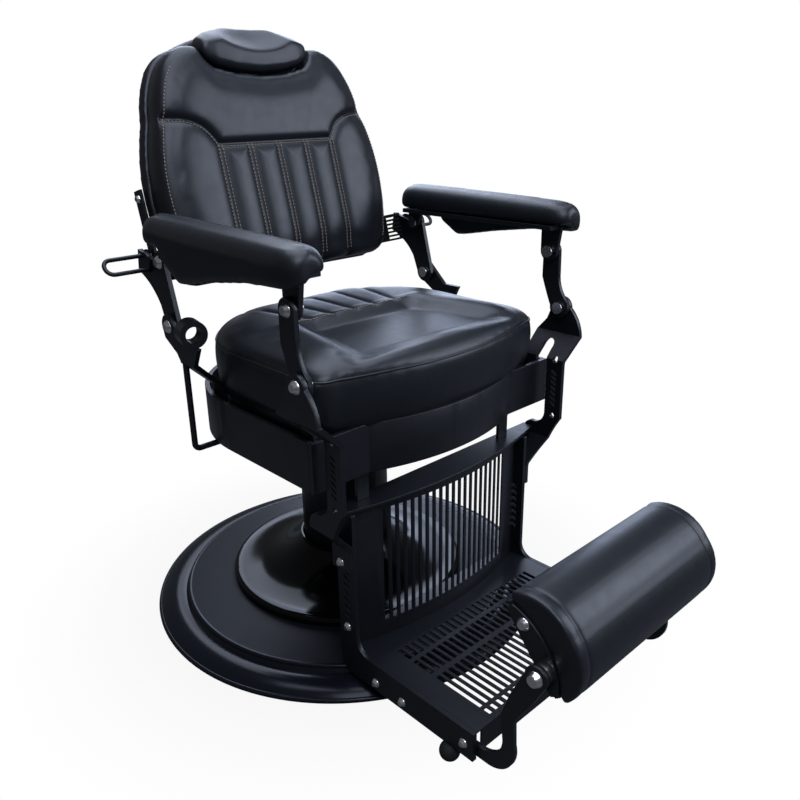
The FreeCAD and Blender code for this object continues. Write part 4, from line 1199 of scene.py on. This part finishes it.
@dataclass(frozen=True)
class Studio:
    """Camera at the photograph's place, a white floor and background, soft boxes."""

    azimuth: float = -43.16
    pitch: float = 20.91
    roll: float = -0.92
    lens: float = 35.74
    sensor: float = 36.0
    clip: float = 60.0
    place: Point = (-0.8765, -1.0979, 0.9217)
    reach: float = 14.0
    floor_grey: str = "#5E5E5E"
    sky: str = "#F3F6FF"
    pool: Point = (0.3, 0.7)
    pool_share: float = 0.92
    dim: float = 0.12
    gloss: float = 0.03
    lamps: tuple[Lamp, ...] = (
        Lamp("key_box", (-0.9, -2.0, 3.0), (0, 0, 0.6), 1.8, 55),
        Lamp("top_box", (0.2, 0.1, 3.1), (0, 0, 0.4), 2.2, 60),
        Lamp("right_box", (1.8, -2.1, 1.75), (0, 0, 0.7), 1.8, 54),
        Lamp("sheen_box", (2.5, 2.1, 1.2), (0, -0.1, 0.5), 2.0, 40, "#D2E1FF"),
        Lamp("rear_box", (1.35, 2.1, 2.65), (0, 0, 0.5), 2.0, 50),
    )

    def build(self) -> None:
        """Sets up camera, floor, background and lamps."""
        self.camera()
        self.floor()
        self.background()
        for lamp in self.lamps:
            lamp.build()
        bpy.context.scene.view_settings.view_transform = "Standard"

    def camera(self) -> None:
        """Places the camera from its angles."""
        turn, drop, roll = (math.radians(a) for a in (self.azimuth, self.pitch, self.roll))
        right = Vector((math.cos(turn), math.sin(turn), 0))
        back = Vector((math.sin(turn) * math.cos(drop), -math.cos(turn) * math.cos(drop), math.sin(drop)))
        up = back.cross(right)
        level = math.cos(roll) * right + math.sin(roll) * up
        crown = -math.sin(roll) * right + math.cos(roll) * up
        data = bpy.data.cameras.new("photo_camera")
        data.lens = self.lens
        data.sensor_width = self.sensor
        data.clip_end = self.clip
        camera = linked("photo_camera", data)
        frame = Matrix((level, crown, back)).transposed().to_4x4()
        frame.translation = Vector(self.place)
        camera.matrix_world = frame
        bpy.context.scene.camera = camera

    def floor(self) -> None:
        """A wide white floor that keeps the chair's soft shadow."""
        mesh = bpy.data.meshes.new("studio_floor")
        corners = [(x * self.reach, y * self.reach, 0) for x, y in ((-1, -1), (1, -1), (1, 1), (-1, 1))]
        mesh.from_pydata(corners, [], [(0, 1, 2, 3)])
        floor = linked("studio_floor", mesh)
        material = bpy.data.materials.new("white_studio_floor")
        material.use_nodes = True
        tree = material.node_tree
        tree.nodes.remove(tree.nodes["Principled BSDF"])
        ray = add(tree, "ShaderNodeLightPath").outputs
        place = add(tree, "ShaderNodeTexCoord").outputs["Object"]
        away = add(tree, "ShaderNodeVectorMath", None, {0: place}, operation="LENGTH")
        near, far = self.pool
        share = add(tree, "ShaderNodeMapRange",
                    {"From Min": near, "From Max": far, "To Min": self.pool_share, "To Max": 1.0},
                    {"Value": away.outputs["Value"]}, interpolation_type="SMOOTHSTEP")
        seen = add(tree, "ShaderNodeMath", None, {0: ray["Is Camera Ray"], 1: share.outputs["Result"]},
                   operation="MULTIPLY")
        matt = add(tree, "ShaderNodeBsdfDiffuse", {"Color": linear(self.floor_grey)})
        glow = add(tree, "ShaderNodeEmission", {"Strength": 1.0})
        mix = add(tree, "ShaderNodeMixShader", None,
                  {0: seen.outputs[0], 1: matt.outputs["BSDF"], 2: glow.outputs["Emission"]})
        tree.links.new(mix.outputs["Shader"], tree.nodes["Material Output"].inputs["Surface"])
        mesh.materials.append(material)

    def background(self) -> None:
        """White where the camera looks past the chair; dim as a light, a trace of white in reflections."""
        world = bpy.data.worlds.new("studio")
        bpy.context.scene.world = world
        world.use_nodes = True
        tree = world.node_tree
        ray = add(tree, "ShaderNodeLightPath").outputs
        clear = add(tree, "ShaderNodeMath", None, {0: ray["Is Camera Ray"], 1: ray["Is Transmission Ray"]},
                    operation="MAXIMUM")
        shine = add(tree, "ShaderNodeMath", {1: self.gloss}, {0: ray["Is Glossy Ray"], 2: clear.outputs[0]},
                    operation="MULTIPLY_ADD", use_clamp=True)
        dim = tree.nodes["Background"]
        dim.inputs["Color"].default_value = linear(self.sky)
        dim.inputs["Strength"].default_value = self.dim
        white = add(tree, "ShaderNodeBackground", {"Strength": 1.0, "Color": (1, 1, 1, 1)})
        mix = add(tree, "ShaderNodeMixShader", None,
                  {0: shine.outputs[0], 1: dim.outputs["Background"], 2: white.outputs["Background"]})
        tree.links.new(mix.outputs["Shader"], tree.nodes["World Output"].inputs["Surface"])


# The chair


def upholstery() -> list[Upholstery]:
    """Lists the stuffed pieces.

    Returns:
        Every stuffed piece of the chair, in the order in which they are built.
    """
    arms = [ArmPad(f"arm_pad_{hand}_cover", f"arm_pad_{hand}", f"arm_{hand}", fill=0.9, voxel=3.5, swell=1.5,
                   rounding=10, side=side) for hand, side in (("left", 1), ("right", -1))]
    return [
        SeatCushion("seat_cushion_cover", "seat_cushion", "seat", fill=0.85, voxel=6.0, swell=8.0,
                    rounding=5),
        BackCushion("back_cushion_cover", "back_cushion", "back", fill=0.8, voxel=5.0, swell=8.0, rounding=3),
        BackShell("back_shell_cover", "back_shell", "back", fill=0.85, voxel=4.5, swell=2.0, rounding=8),
        HeadRest("headrest_cover", "headrest_pad", "headrest", fill=0.85, voxel=3.5, swell=2.0, rounding=3),
        CalfRoll("calf_roll_cover", "calf_pad", "calf", fill=0.95, voxel=3.5, swell=1.5, rounding=1),
        *arms,
    ]


def main() -> None:
    """Builds the dressed chair."""
    logging.basicConfig(level=logging.INFO, format="%(name)s: %(message)s")
    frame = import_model()
    Studio().build()
    materials = {slot: finish.material() for slot, finish in FINISHES.items()}
    thread = THREAD.material()
    SteelWork().dress(frame, materials)
    rows: dict[str, Lines] = {}
    for cover in upholstery():
        piece = cover.build()
        piece.data.materials.clear()
        piece.data.materials.append(materials[Slot.BLACK_LEATHER])
        rows.setdefault(cover.body, []).extend(row for row in cover.seams if len(row) > 1)
        if cover.welts:
            cord = welted(f"{cover.name}_welt", cover.welts, cover.body)
            cord.data.materials.append(materials[Slot.BLACK_LEATHER])
        LOG.info("%s: %d faces", piece.name, len(piece.data.polygons))
    stitches = Thread()
    tree = stitches.tree()
    for body, lines in rows.items():
        if lines:
            piece = stitches.sew(body, lines, tree, thread)
            LOG.info("%s: %d faces", piece.name, len(piece.data.polygons))


if __name__ == "__main__":
    main()
